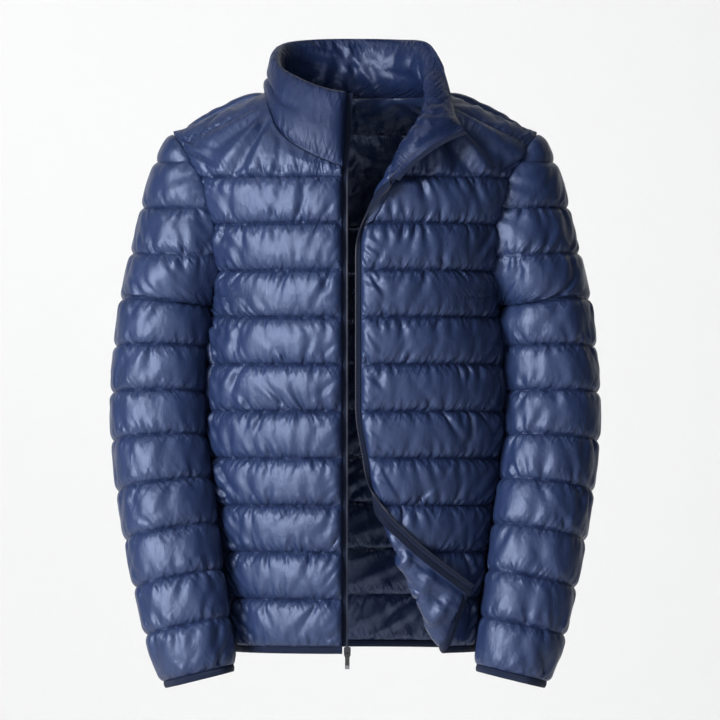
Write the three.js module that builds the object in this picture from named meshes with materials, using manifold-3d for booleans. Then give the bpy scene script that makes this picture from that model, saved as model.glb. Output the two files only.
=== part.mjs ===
// A lightweight quilted puffer jacket, worn open on a hollow figure, in millimetres with +Z up.
// The origin lies in the neck opening at shoulder height, -Y is the front and +X the wearer's left.
// Each cloth piece is a wall: a plain inner face, and an outer face raised in horizontal quilted channels.
import * as THREE from "three";
import Module from "manifold-3d";

// Levels of the body
const NECK_SIDE_Z = -10;
const TIP_Z = -61;
const NECK_FRONT_Z = -104;
const UNDERARM_Z = -262;
const HEM_Z = -697;

// Shoulder line
const NECK_SIDE_X = 110;
const TIP_X = 227;
const SHOULDER_SLOPE = (NECK_SIDE_Z + 1 - TIP_Z) / (TIP_X - NECK_SIDE_X);
const SHOULDER_ROUND = 110;
const RING_POWER = 2.3;

// Front edges, at the cloth
const RIGHT_EDGE_X = 16;
const LEFT_EDGE_X = 7.5;
const EDGE_PULL = 12;
const EDGE_PULL_TOP_Z = -400;
const EDGE_PULL_LENGTH = 95;

// Quilting
const WALL = 3;
const LOFT = 6.5;
const PRESSED_LOFT = 3;
const CHANNEL_POWER = 0.6;
const SEAM_FADE = 22;
const BODY_STITCH_TOP = -113;
const BODY_PITCH = 58.4;
const SLEEVE_STITCH_TOP = -94;
const SLEEVE_PITCH = 57.8;
const CUFF_Z = -729.8;
const SLEEVE_PINCH = 1.1;

const SEAM_GAP = 0.3;
const STEP = 0.4;

// Half sizes of the torso's rings, inside the wall
const TORSO = [
  { z: -716, halfWidth: 158, front: 115, back: 108 },
  { z: -640, halfWidth: 162, front: 120, back: 110 },
  { z: -564, halfWidth: 168, front: 124, back: 112 },
  { z: -465, halfWidth: 178.5, front: 128, back: 114 },
  { z: -400, halfWidth: 182, front: 129, back: 114 },
  { z: -330, halfWidth: 180, front: 130, back: 116 },
  { z: -262, halfWidth: 170, front: 130, back: 119 },
  { z: -185, halfWidth: 184, front: 124, back: 121 },
  { z: -130, halfWidth: 200, front: 116, back: 118 },
  { z: -90, halfWidth: 221, front: 109, back: 113 },
  { z: -61, halfWidth: 240, front: 102, back: 108 },
  { z: 0, halfWidth: 240, front: 91, back: 100 },
];

// The armhole seam as seen from the front
const ARMHOLE = [
  { z: -262, x: 170 },
  { z: -235, x: 168 },
  { z: -185, x: 172 },
  { z: -130, x: 184 },
  { z: -90, x: 205 },
  { z: -61, x: 227 },
];

// The front half of the neck seam as seen from the front
const NECK = [
  { z: -104, x: 7 },
  { z: -94, x: 34 },
  { z: -84, x: 56 },
  { z: -66, x: 83 },
  { z: -48, x: 97 },
  { z: -25, x: 105 },
  { z: -10, x: 109.4 },
];

// The side seam, in degrees round the torso from the front centre
const SIDE_SEAM = [
  { z: -716, angle: 63 },
  { z: -634, angle: 66 },
  { z: -525, angle: 71 },
  { z: -455, angle: 76 },
  { z: -345, angle: 71 },
  { z: -285, angle: 81 },
  { z: -262, angle: 90 },
];

// The sleeve above the underarm: its outer line, and half its depth
const SLEEVE_HEAD = [
  { z: -262, outer: 282, depth: 66 },
  { z: -217, outer: 272, depth: 66 },
  { z: -185, outer: 264, depth: 62 },
  { z: -149, outer: 256, depth: 57 },
  { z: -105, outer: 246, depth: 46 },
  { z: -84, outer: 240, depth: 34 },
  { z: -70, outer: 234, depth: 18 },
  { z: -61, outer: 228.5, depth: 1 },
];

// The sleeve below the underarm: ring centre, half sizes and the ring's two slants in radians
const SLEEVE_TUBE = [
  { z: -262, x: 226, y: 0, halfWidth: 56, depth: 66, outward: 0, forward: 0 },
  { z: -270, x: 233.5, y: -2, halfWidth: 50, depth: 64, outward: 0, forward: 0.01 },
  { z: -292, x: 238.5, y: -6, halfWidth: 48, depth: 62, outward: 0, forward: 0.03 },
  { z: -330, x: 242, y: -10, halfWidth: 48, depth: 60, outward: 0, forward: 0.06 },
  { z: -390, x: 245, y: -16, halfWidth: 48.5, depth: 58, outward: 0, forward: 0.08 },
  { z: -430, x: 244, y: -24, halfWidth: 49, depth: 57, outward: 0.03, forward: 0.1 },
  { z: -480, x: 239, y: -36, halfWidth: 49, depth: 55, outward: 0.09, forward: 0.12 },
  { z: -542, x: 230, y: -53, halfWidth: 48, depth: 52, outward: 0.16, forward: 0.12 },
  { z: -609, x: 218.5, y: -70, halfWidth: 45.5, depth: 48, outward: 0.2, forward: 0.1 },
  { z: -673, x: 206.5, y: -85, halfWidth: 42.5, depth: 44, outward: 0.23, forward: 0.06 },
  { z: -730, x: 195, y: -97, halfWidth: 40, depth: 40, outward: 0.25, forward: 0.02 },
  { z: -744, x: 192, y: -100, halfWidth: 40, depth: 40, outward: 0.25, forward: 0.02 },
];

// The collar's upper edge from the back centre round to the front end, closed side then open side
const COLLAR_TOP_CLOSED = [
  { x: 0, y: 70, z: 66 },
  { x: -52, y: 62, z: 65 },
  { x: -85, y: 35, z: 59 },
  { x: -95, y: 0, z: 46 },
  { x: -90, y: -38, z: 25 },
  { x: -60, y: -66, z: 6 },
  { x: -32, y: -80, z: -4 },
  { x: -9, y: -86, z: -8 },
];
const COLLAR_TOP_OPEN = [
  { x: 0, y: 70, z: 66 },
  { x: 50, y: 62, z: 65 },
  { x: 85, y: 30, z: 60 },
  { x: 101, y: 4, z: 39 },
  { x: 110, y: -24, z: 15 },
  { x: 116, y: -50, z: -5 },
  { x: 123, y: -80, z: -30 },
  { x: 136, y: -106, z: -56 },
];
const COLLAR_BULGE = 7;
const YOKE_DROP = 18;

// Two turned-back corners of the left front: a fold line on the front view, how far the turned part
// climbs along it, and the turn along it
const LAPEL = {
  from: { x: 6, z: -203 },
  to: { x: 68, z: -78 },
  climb: 0,
  turns: [
    { at: 0, radius: 10, angle: 0.7 },
    { at: 40, radius: 12, angle: 1.5 },
    { at: 80, radius: 13, angle: 2.3 },
    { at: 150, radius: 12, angle: 2.6 },
  ],
};
const CORNER = {
  from: { x: 10, z: -464 },
  to: { x: 111, z: -697 },
  climb: 0.5,
  turns: [
    { at: 0, radius: 7, angle: 2.4 },
    { at: 60, radius: 8.5, angle: 2.8 },
    { at: 150, radius: 11, angle: 2.95 },
    { at: 260, radius: 12, angle: 2.95 },
  ],
};

// Zip and bindings
const ZIP_SECTION = [
  { out: 0.6, low: 0.9, high: 2.1 },
  { out: 4.4, low: 0.8, high: 2.2 },
  { out: 7.5, low: 0.1, high: 2.9 },
];
const BINDING_HEIGHT = 9;
const BINDING_THICK = 4;
const SLIDER = { width: 8.6, depth: 5, height: 12, top: HEM_Z - 1.3 };
const PIN = { radius: 0.7, reach: 4.2, lug: 1.1, below: 3.5, ahead: 2.6 };
const PULL = { width: 5.6, thick: 1.8, length: 18, eye: 2.3, bore: 1.15 };

// Rows shared by the panels that meet at the armhole and the neck
const NECK_ROWS = [-10, -16, -25, -39, -55];
const ARMHOLE_ROWS = [-61, -67, -78, -94, -104, -113, -133, -153, -171, -191, -212, -229, -246, -262];
const LOW_QUARTERS = [0.25, 0.75, 1];
const BACK_COLUMNS = 16;
const SLEEVE_COLUMNS = 14;
const FRONT_COLUMNS = 7;
const EDGE_COLUMN = 12;
const FOLD_COLUMNS = { flap: 3, turn: 4, rest: 5 };
const COLLAR_ROWS = 4;

const CLOTH_BLUE = 0x2b3d6e;
const TRIM_BLUE = 0x141b33;
const METAL_GREY = 0x8a8f98;
const PULL_BLACK = 0x1b1c20;

// A smooth curve through the rows of a table, monotone between neighbours
function smoothColumn(rows, key, value) {
  const table = [...rows].sort((one, other) => one[key] - other[key]);
  const at = table.map((row) => row[key]);
  const to = table.map((row) => row[value]);
  const rate = at.slice(1).map((a, i) => (to[i + 1] - to[i]) / (a - at[i]));
  const slope = at.map((_, i) => {
    if (i === 0) return rate[0];
    if (i === at.length - 1) return rate[i - 1];
    if (rate[i - 1] * rate[i] <= 0) return 0;
    return (2 * rate[i - 1] * rate[i]) / (rate[i - 1] + rate[i]);
  });
  return (a) => {
    if (a <= at[0]) return to[0];
    if (a >= at[at.length - 1]) return to[to.length - 1];
    const i = at.findIndex((limit) => a < limit) - 1;
    const span = at[i + 1] - at[i];
    const t = (a - at[i]) / span;
    const s = 1 - t;
    return (
      (1 + 2 * t) * s * s * to[i] +
      t * s * s * span * slope[i] +
      t * t * (3 - 2 * t) * to[i + 1] -
      t * t * s * span * slope[i + 1]
    );
  };
}

const halfWidthAt = smoothColumn(TORSO, "z", "halfWidth");
const frontDepthAt = smoothColumn(TORSO, "z", "front");
const backDepthAt = smoothColumn(TORSO, "z", "back");
const armholeX = smoothColumn(ARMHOLE, "z", "x");
const neckX = smoothColumn(NECK, "z", "x");
const sideSeamDegrees = smoothColumn(SIDE_SEAM, "z", "angle");
const headOuter = smoothColumn(SLEEVE_HEAD, "z", "outer");
const headDepth = smoothColumn(SLEEVE_HEAD, "z", "depth");
const tube = {};
for (const name of ["x", "y", "halfWidth", "depth", "outward", "forward"])
  tube[name] = smoothColumn(SLEEVE_TUBE, "z", name);

const clamp01 = (t) => Math.min(1, Math.max(0, t));
const smoothstep = (t) => clamp01(t) ** 2 * (3 - 2 * clamp01(t));
const signedPower = (v, p) => Math.sign(v) * Math.abs(v) ** p;
const ridgeZ = (x) => NECK_SIDE_Z + 1 - (Math.abs(x) - NECK_SIDE_X) * SHOULDER_SLOPE;
const ridgeX = (z) => NECK_SIDE_X + (NECK_SIDE_Z + 1 - z) / SHOULDER_SLOPE;

// How far the torso's ring has opened out below the shoulder line: 0 on the line, 1 well below it
function shoulderRounding(x, z) {
  const below = clamp01((ridgeZ(x) - z) / SHOULDER_ROUND);
  return Math.sqrt(1 - (1 - below) ** 2);
}

// The torso's inner surface. The angle runs from the front centre towards the wearer's left.
function torso(angle, z) {
  const x = halfWidthAt(z) * signedPower(Math.sin(angle), 2 / RING_POWER);
  const forward = Math.cos(angle);
  const depth = forward > 0 ? frontDepthAt(z) : backDepthAt(z);
  const y = -depth * signedPower(forward, 2 / RING_POWER) * shoulderRounding(x, z);
  return new THREE.Vector3(x, y, z);
}

const angleOfX = (x, z) => Math.asin(Math.min(1, (x / halfWidthAt(z)) ** (RING_POWER / 2)));

// The angle of a panel's outer border, from the front centre: side seam, armhole, then shoulder line
function outerAngle(z) {
  if (z < UNDERARM_Z) return THREE.MathUtils.degToRad(sideSeamDegrees(z));
  if (z <= TIP_Z) return angleOfX(armholeX(z), z);
  return angleOfX(ridgeX(z), z);
}

// Columns crowd towards the shoulder line, where the surface turns level
const crowding = (z) => 1 + smoothstep((z - BODY_STITCH_TOP) / (TIP_Z - BODY_STITCH_TOP));

// The normal of a surface of two parameters, by central differences
function normalOf(surface, a, b, stepA, stepB) {
  const alongA = surface(a + stepA, b).sub(surface(a - stepA, b));
  const alongB = surface(a, b + stepB).sub(surface(a, b - stepB));
  return alongA.cross(alongB).normalize();
}

// The raised height across one quilted channel, 0 on its stitched lines
function channel(z, top, pitch) {
  if (z > top) return Math.min(1, (z - top) / 22) ** CHANNEL_POWER;
  const phase = ((top - z) / pitch) % 1;
  return Math.max(0, 4 * phase * (1 - phase)) ** CHANNEL_POWER;
}

// A point of the left front, from its place on the flat front view, turned back at both corners
function foldAbout(fold, x, z) {
  const run = { x: fold.to.x - fold.from.x, z: fold.to.z - fold.from.z };
  const length = Math.hypot(run.x, run.z);
  const along = ((x - fold.from.x) * run.x + (z - fold.from.z) * run.z) / length;
  const side = run.z > 0 ? 1 : -1;
  const across = (-side * ((x - fold.from.x) * run.z - (z - fold.from.z) * run.x)) / length;
  if (across <= 0 || along < 0) return null;
  const lineX = fold.from.x + (run.x * along) / length;
  const lineZ = fold.from.z + (run.z * along) / length;
  return { along, across, lineX, lineZ, run, length };
}

const turnOf = (fold) => ({
  radius: smoothColumn(fold.turns, "at", "radius"),
  angle: smoothColumn(fold.turns, "at", "angle"),
});
LAPEL.turn = turnOf(LAPEL);
CORNER.turn = turnOf(CORNER);

const frontSheet = (x, z) => torso(angleOfX(Math.max(0, x), z), z);

// Past a fold line the sheet rolls outwards round a soft radius and then runs straight
function foldedFront(x, z) {
  const fold = z > -340 ? LAPEL : CORNER;
  const place = foldAbout(fold, x, z);
  if (!place) return frontSheet(x, z);
  const { along, across, lineX, lineZ, run, length } = place;
  const here = frontSheet(lineX, lineZ);
  const further = frontSheet(lineX + (run.x / length) * STEP, lineZ + (run.z / length) * STEP);
  const tangent = further.sub(here).normalize();
  const outward = normalOf(frontSheet, lineX, lineZ, STEP, STEP);
  const inward = new THREE.Vector3().crossVectors(tangent, outward).normalize();
  if (inward.x > 0) inward.negate();
  const radius = fold.turn.radius(along);
  const most = fold.turn.angle(along);
  const turned = Math.min(across / radius, most);
  const straight = Math.max(0, across - radius * most);
  here.addScaledVector(inward, radius * Math.sin(turned) + straight * Math.cos(turned));
  here.addScaledVector(outward, radius * (1 - Math.cos(turned)) + straight * Math.sin(turned));
  here.addScaledVector(tangent, -fold.climb * straight);
  return here;
}

// 0 where the cloth is rolled tight or turned back, 1 on the flat of the panel
function unfolded(x, z) {
  const place = foldAbout(z > -340 ? LAPEL : CORNER, x + 24, z);
  return place ? 1 - smoothstep(place.across / 30) : 1;
}

// A closed wall between two grids of points that have the same rows and columns
function wall(inner, outer) {
  const rows = inner.length;
  const columns = inner[0].length;
  const points = [...inner.flat(), ...outer.flat()];
  const faces = [];
  const quad = (a, b, c, d) => faces.push(a, b, c, a, c, d);
  const low = (i, j) => i * columns + j;
  const high = (i, j) => rows * columns + i * columns + j;
  for (let i = 0; i < rows - 1; i++)
    for (let j = 0; j < columns - 1; j++) {
      quad(low(i, j), low(i, j + 1), low(i + 1, j + 1), low(i + 1, j));
      quad(high(i, j), high(i + 1, j), high(i + 1, j + 1), high(i, j + 1));
    }
  for (let i = 0; i < rows - 1; i++) {
    quad(low(i, 0), low(i + 1, 0), high(i + 1, 0), high(i, 0));
    const j = columns - 1;
    quad(low(i, j), high(i, j), high(i + 1, j), low(i + 1, j));
  }
  for (let j = 0; j < columns - 1; j++) {
    quad(low(0, j), high(0, j), high(0, j + 1), low(0, j + 1));
    const i = rows - 1;
    quad(low(i, j), low(i, j + 1), high(i, j + 1), high(i, j));
  }
  let volume = 0;
  for (let k = 0; k < faces.length; k += 3)
    volume += points[faces[k]].dot(points[faces[k + 1]].clone().cross(points[faces[k + 2]]));
  if (volume < 0) faces.reverse();
  const geometry = new THREE.BufferGeometry().setFromPoints(points);
  geometry.setIndex(faces);
  geometry.computeVertexNormals();
  return geometry;
}

const jacket = new THREE.Group();

function addPiece(name, geometry, colour, roughness = 0.45) {
  const material = new THREE.MeshStandardMaterial({ color: colour, roughness, metalness: 0 });
  const mesh = new THREE.Mesh(geometry, material);
  mesh.name = name;
  jacket.add(mesh);
  return mesh;
}

const mirrored = (points) => points.map((row) => row.map((p) => new THREE.Vector3(-p.x, p.y, p.z)));

// The direction in which the wall thickens at the armhole seam, the same for panel and sleeve
function armholeDirection(point) {
  const middle = { y: 0, z: (UNDERARM_Z + TIP_Z) / 2 };
  const high = (TIP_Z - UNDERARM_Z) / 2;
  const deep = 52;
  const y = (point.y - middle.y) / deep ** 2;
  const z = (point.z - middle.z) / high ** 2;
  const long = Math.hypot(y, z);
  return new THREE.Vector3(0.15 + (0.45 * Math.abs(z)) / long, y / long, z / long).normalize();
}

const ridgeDirection = new THREE.Vector3(SHOULDER_SLOPE, 0, 1).normalize();

// At the neck seam the wall thickens between the panel's own direction and straight away from the neck
function neckDirection(point, own) {
  const away = new THREE.Vector3(point.x, point.y + 10, 0).normalize();
  return away.add(own).normalize();
}

// Row levels from the shoulder to the hem
function levels(top, pitch, upper, last) {
  const rows = [...upper];
  const start = Math.floor((top - upper[upper.length - 1]) / pitch);
  for (let k = start; top - k * pitch > last + 1; k++)
    for (const part of LOW_QUARTERS) {
      const z = top - (k + part) * pitch;
      if (z < rows[rows.length - 1] - 6 && z > last - 1) rows.push(z);
    }
  return rows;
}
const BODY_ROWS = levels(BODY_STITCH_TOP, BODY_PITCH, [...NECK_ROWS, ...ARMHOLE_ROWS], HEM_Z);
const SLEEVE_ROWS = levels(SLEEVE_STITCH_TOP, SLEEVE_PITCH, ARMHOLE_ROWS, CUFF_Z);

const evenly = (from, to, count) =>
  Array.from({ length: count }, (_, k) => from + ((to - from) * (k + 1)) / count);

// Columns of a front panel at one level, from its inner border to its outer one, on the front view
function frontPlaces(z, edge, folds) {
  const inner = z < NECK_FRONT_Z ? edge : Math.max(edge, neckX(z)) + SEAM_GAP / 2;
  const outer = outerAngle(z);
  const from = angleOfX(inner, z);
  const places = (a, b, count, power) =>
    evenly(0, 1, count).map((u) => b - (b - a) * (1 - u) ** power);
  if (!folds) {
    const near = angleOfX(inner + Math.min(EDGE_COLUMN, 0.2 * (ridgeX(NECK_SIDE_Z) - inner)), z);
    return [from, near, ...places(near, outer, FRONT_COLUMNS, crowding(z))];
  }
  const crossing = foldCrossing(z, inner);
  const turnWidth = 50;
  const turned = inner + (crossing - inner) * Math.max(0.34, 1 - turnWidth / (crossing - inner));
  return [
    from,
    ...places(from, angleOfX(turned, z), FOLD_COLUMNS.flap, 1),
    ...places(angleOfX(turned, z), angleOfX(crossing, z), FOLD_COLUMNS.turn, 1),
    ...places(angleOfX(crossing, z), outer, FOLD_COLUMNS.rest, crowding(z)),
  ];
}

// Where a row of the left front meets its fold line, or a little way in where it has none
function foldCrossing(z, inner) {
  const fold = z > -340 ? LAPEL : CORNER;
  const share = (z - fold.from.z) / (fold.to.z - fold.from.z);
  const line = fold.from.x + (fold.to.x - fold.from.x) * clamp01(share);
  const clear = Math.min(LAPEL.from.z - z, z - CORNER.from.z);
  const spare = z > NECK_FRONT_Z ? 3 : 26 + 36 * smoothstep(clear / 60);
  return Math.max(line, inner + spare);
}

// The edge of the left front is drawn towards the side above its turned-back corner
const edgePull = (x, z) =>
  EDGE_PULL * smoothstep((EDGE_PULL_TOP_Z - z) / EDGE_PULL_LENGTH) * (1 - smoothstep(x / 135));

function frontSurface(side) {
  return (angle, z) => {
    const flat = torso(angle, z);
    if (side < 0) return flat;
    return foldedFront(flat.x + edgePull(flat.x, z), z);
  };
}

// Where the arm hangs against the body the down is pressed thin
const bodyLoft = (angle) => PRESSED_LOFT + (LOFT - PRESSED_LOFT) * Math.abs(Math.cos(angle)) ** 0.8;

// Above its first level stitch line a front has one that runs along the shoulder
function frontChannel(x, z) {
  if (z <= BODY_STITCH_TOP) return channel(z, BODY_STITCH_TOP, BODY_PITCH);
  const below = ridgeZ(x) - z;
  const above = z - BODY_STITCH_TOP;
  const height = below < YOKE_DROP ? YOKE_DROP : below - YOKE_DROP + above;
  const phase = below < YOKE_DROP ? below / YOKE_DROP : above / height;
  const fullness = Math.min(1, height / (BODY_PITCH * 0.7));
  return fullness * Math.max(0, 4 * phase * (1 - phase)) ** CHANNEL_POWER;
}

const sideSeamDirection = (z) => normalOf(torso, outerAngle(z), z, 0.003, STEP);

function frontPanel(side) {
  const surface = frontSurface(side);
  const edge = side < 0 ? RIGHT_EDGE_X : LEFT_EDGE_X;
  const inner = [];
  const outer = [];
  for (const z of BODY_ROWS) {
    const places = frontPlaces(z, edge, side > 0);
    const last = places.length - 1;
    const onSeam = places[last];
    inner.push([]);
    outer.push([]);
    places.forEach((place, j) => {
      const angle = j === last && z < UNDERARM_Z ? place - SEAM_GAP / 2 / halfWidthAt(z) : place;
      const point = surface(angle, z);
      let direction = normalOf(surface, Math.min(angle, onSeam - 0.004), z, 0.003, STEP);
      if (j === last && z > TIP_Z) {
        direction = ridgeDirection.clone();
        point.y -= SEAM_GAP / 2;
      } else if (j === last && z < UNDERARM_Z) {
        direction = sideSeamDirection(z);
      } else if (j === last) {
        direction = armholeDirection(point);
        point.x -= SEAM_GAP / 2;
        if (z === TIP_Z || z === UNDERARM_Z) point.y -= SEAM_GAP / 2;
      }
      const flatX = halfWidthAt(z) * Math.sin(angle) ** (2 / RING_POWER);
      const flatness = side > 0 ? unfolded(flatX, z) : 1;
      if (j === 0 && z >= NECK_FRONT_Z) direction.lerp(neckDirection(point, direction), flatness).normalize();
      const toEdge = flatX - halfWidthAt(z) * Math.sin(places[0]) ** (2 / RING_POWER);
      const toSeam = (onSeam - angle) * halfWidthAt(z);
      const fade = clamp01(Math.min(toEdge, toSeam) / SEAM_FADE);
      const loft = bodyLoft(angle) * frontChannel(flatX, z) * fade * (0.25 + 0.75 * flatness);
      const topFade = clamp01((NECK_SIDE_Z - z) / SEAM_FADE);
      inner[inner.length - 1].push(point);
      outer[outer.length - 1].push(point.clone().addScaledVector(direction, WALL + loft * topFade));
    });
  }
  return { inner, outer };
}

function backPanel() {
  const inner = [];
  const outer = [];
  for (const z of BODY_ROWS) {
    const border = z < UNDERARM_Z ? outerAngle(z) + SEAM_GAP / 2 / halfWidthAt(z) : Math.PI - outerAngle(z);
    inner.push([]);
    outer.push([]);
    for (let j = 0; j <= BACK_COLUMNS; j++) {
      const u = (2 * j) / BACK_COLUMNS - 1;
      const spread = Math.sign(u) * (1 - (1 - Math.abs(u)) ** crowding(z));
      const angle = Math.PI - spread * (Math.PI - border);
      const atBorder = Math.abs(u) === 1;
      const point = torso(angle, z);
      const half = Math.PI - border;
      const safe = Math.PI - Math.sign(spread) * Math.min(Math.abs(spread) * half, half - 0.004);
      let direction = normalOf(torso, safe, z, 0.003, STEP);
      if (atBorder && z > TIP_Z) {
        direction = new THREE.Vector3(ridgeDirection.x * u, 0, ridgeDirection.z);
        point.y += SEAM_GAP / 2;
      } else if (atBorder && z < UNDERARM_Z) {
        direction = sideSeamDirection(z);
        direction.x *= u;
      } else if (atBorder) {
        direction = armholeDirection(point);
        direction.x *= u;
        point.x -= (u * SEAM_GAP) / 2;
        if (z === TIP_Z || z === UNDERARM_Z) point.y += SEAM_GAP / 2;
      } else if (z === NECK_SIDE_Z) direction = neckDirection(point, direction);
      const toSeam = (1 - Math.abs(spread)) * (Math.PI - border) * halfWidthAt(z);
      const fade = clamp01(toSeam / SEAM_FADE) * clamp01((NECK_SIDE_Z - z) / SEAM_FADE);
      const loft = bodyLoft(angle) * channel(z, BODY_STITCH_TOP + BODY_PITCH, BODY_PITCH) * fade;
      inner[inner.length - 1].push(point);
      outer[outer.length - 1].push(point.clone().addScaledVector(direction, WALL + loft));
    }
  }
  return { inner, outer };
}

// The wearer's left sleeve. Its turn runs from the front border round the outside to the back border.
function sleeveRing(z) {
  if (z < UNDERARM_Z)
    return {
      x: tube.x(z),
      y: tube.y(z),
      halfWidth: tube.halfWidth(z),
      depth: tube.depth(z),
      reach: Math.PI - SEAM_GAP / tube.depth(z),
    };
  const x = armholeX(z);
  const front = Math.abs(torso(angleOfX(x, z), z).y);
  const back = torso(Math.PI - angleOfX(x, z), z).y;
  const half = (front + back) / 2;
  const depth = Math.max(headDepth(z), half * 1.02);
  const reach = Math.PI - Math.asin(Math.min(1, half / depth)) - 0.0005;
  const halfWidth = (headOuter(z) - x) / (1 - Math.cos(reach));
  return { x: headOuter(z) - halfWidth, y: (back - front) / 2, halfWidth, depth, reach };
}

// Under the arm the ring narrows to a point where it meets the body
const pinchShare = (z) => smoothstep((z + 300) / 34) * smoothstep((-190 - z) / 50);

function sleeveSurface(turn, z) {
  const ring = sleeveRing(z);
  const pinch = SLEEVE_PINCH * pinchShare(z) * (1 - Math.abs(turn)) * Math.abs(turn) ** 3;
  const out = ring.halfWidth * (Math.cos(turn * ring.reach) + 2 * pinch);
  const back = ring.depth * Math.sin(turn * ring.reach);
  const slant = z < UNDERARM_Z ? out * Math.sin(tube.outward(z)) + back * Math.sin(tube.forward(z)) : 0;
  return new THREE.Vector3(ring.x + out, ring.y + back, z - slant);
}

const sleeveLoft = (turn) =>
  PRESSED_LOFT + (LOFT - PRESSED_LOFT) * (0.5 + 0.5 * Math.cos(turn * Math.PI)) ** 0.7;

function sleevePanel() {
  const inner = [];
  const outer = [];
  for (const z of SLEEVE_ROWS) {
    inner.push([]);
    outer.push([]);
    for (let j = 0; j <= SLEEVE_COLUMNS; j++) {
      const turn = (2 * j) / SLEEVE_COLUMNS - 1;
      const atBorder = Math.abs(turn) === 1;
      const point = sleeveSurface(turn, z);
      let direction = normalOf(sleeveSurface, turn, z, 0.01, z === UNDERARM_Z ? 0 : STEP);
      if (z > UNDERARM_Z - 1) direction = normalOf(sleeveSurface, turn, Math.min(z, TIP_Z - 2), 0.01, STEP);
      if (atBorder && z >= UNDERARM_Z) {
        direction = armholeDirection(point);
        point.x += SEAM_GAP;
      }
      if (z === TIP_Z) direction = armholeDirection(point);
      const girth = ring(z);
      const fade = atBorder ? 0 : clamp01(((1 - Math.abs(turn)) * girth) / SEAM_FADE);
      const headFade = clamp01((TIP_Z - z) / SEAM_FADE);
      const loft = sleeveLoft(turn) * channel(z, SLEEVE_STITCH_TOP, SLEEVE_PITCH) * fade * headFade;
      inner[inner.length - 1].push(point);
      outer[outer.length - 1].push(point.clone().addScaledVector(direction, WALL + loft));
    }
  }
  return { inner, outer };
}

// Half the sleeve's girth at a level
function ring(z) {
  const { halfWidth, depth, reach } = sleeveRing(z);
  return (reach * (halfWidth + depth)) / 2;
}

// The neck seam's stops, from the right front end round the back to the left front end
const leftFront = frontPanel(1);
const rightFront = frontPanel(-1);
rightFront.inner = mirrored(rightFront.inner);
rightFront.outer = mirrored(rightFront.outer);
const back = backPanel();

function neckStops() {
  const count = BODY_ROWS.findIndex((z) => z < NECK_FRONT_Z);
  const stop = (panel, i, j) => ({ inner: panel.inner[i][j], outer: panel.outer[i][j] });
  const ofFront = (front) => {
    const rows = BODY_ROWS.slice(0, count).map((_, i) => stop(front, i, 0));
    return [stop(front, 0, front.inner[0].length - 1), ...rows];
  };
  const ofBack = back.inner[0].map((_, j) => stop(back, 0, j));
  return [...ofFront(rightFront).reverse(), ...ofBack, ...ofFront(leftFront)];
}

function collarTopCurve(points) {
  const places = points.map((p) => new THREE.Vector3(p.x, p.y, p.z));
  return new THREE.CatmullRomCurve3(places, false, "catmullrom", 0.5);
}

function collar() {
  const stops = neckStops();
  const run = [0];
  for (let i = 1; i < stops.length; i++) run.push(run[i - 1] + stops[i].inner.distanceTo(stops[i - 1].inner));
  const centre = run[run.length / 2 - 0.5];
  const closed = collarTopCurve(COLLAR_TOP_CLOSED);
  const open = collarTopCurve(COLLAR_TOP_OPEN);
  const topAt = (i) =>
    run[i] < centre
      ? closed.getPointAt(clamp01((centre - run[i]) / centre))
      : open.getPointAt(clamp01((run[i] - centre) / (run[run.length - 1] - centre)));
  const inner = [];
  const outer = [];
  const tops = stops.map((_, i) => topAt(i));
  for (let k = 0; k <= COLLAR_ROWS; k++) {
    const v = k / COLLAR_ROWS;
    inner.push([]);
    outer.push([]);
    stops.forEach((stop, i) => {
      const next = Math.min(stops.length - 1, i + 1);
      const before = Math.max(0, i - 1);
      const up = tops[i].clone().sub(stop.inner);
      const along = tops[next].clone().add(stops[next].inner).sub(tops[before]).sub(stops[before].inner);
      const away = new THREE.Vector3().crossVectors(up, along).normalize().negate();
      const bulge = COLLAR_BULGE * 4 * v * (1 - v);
      const seam = stop.outer.clone().sub(stop.inner).normalize();
      const lift = new THREE.Vector3().crossVectors(seam, along).normalize();
      if (lift.dot(up) < 0) lift.negate();
      const base = stop.inner.clone().addScaledVector(up, v).addScaledVector(away, bulge);
      base.addScaledVector(lift, 2 * SEAM_GAP * (1 - v));
      const direction = seam.lerp(away, smoothstep(v * 3)).normalize();
      const endFade = clamp01(Math.min(run[i], run[run.length - 1] - run[i]) / SEAM_FADE);
      const loft = LOFT * 0.8 * (4 * v * (1 - v)) ** CHANNEL_POWER * endFade;
      inner[k].push(base);
      outer[k].push(base.clone().addScaledVector(direction, WALL + loft));
    });
  }
  return { inner, outer, stops };
}

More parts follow.
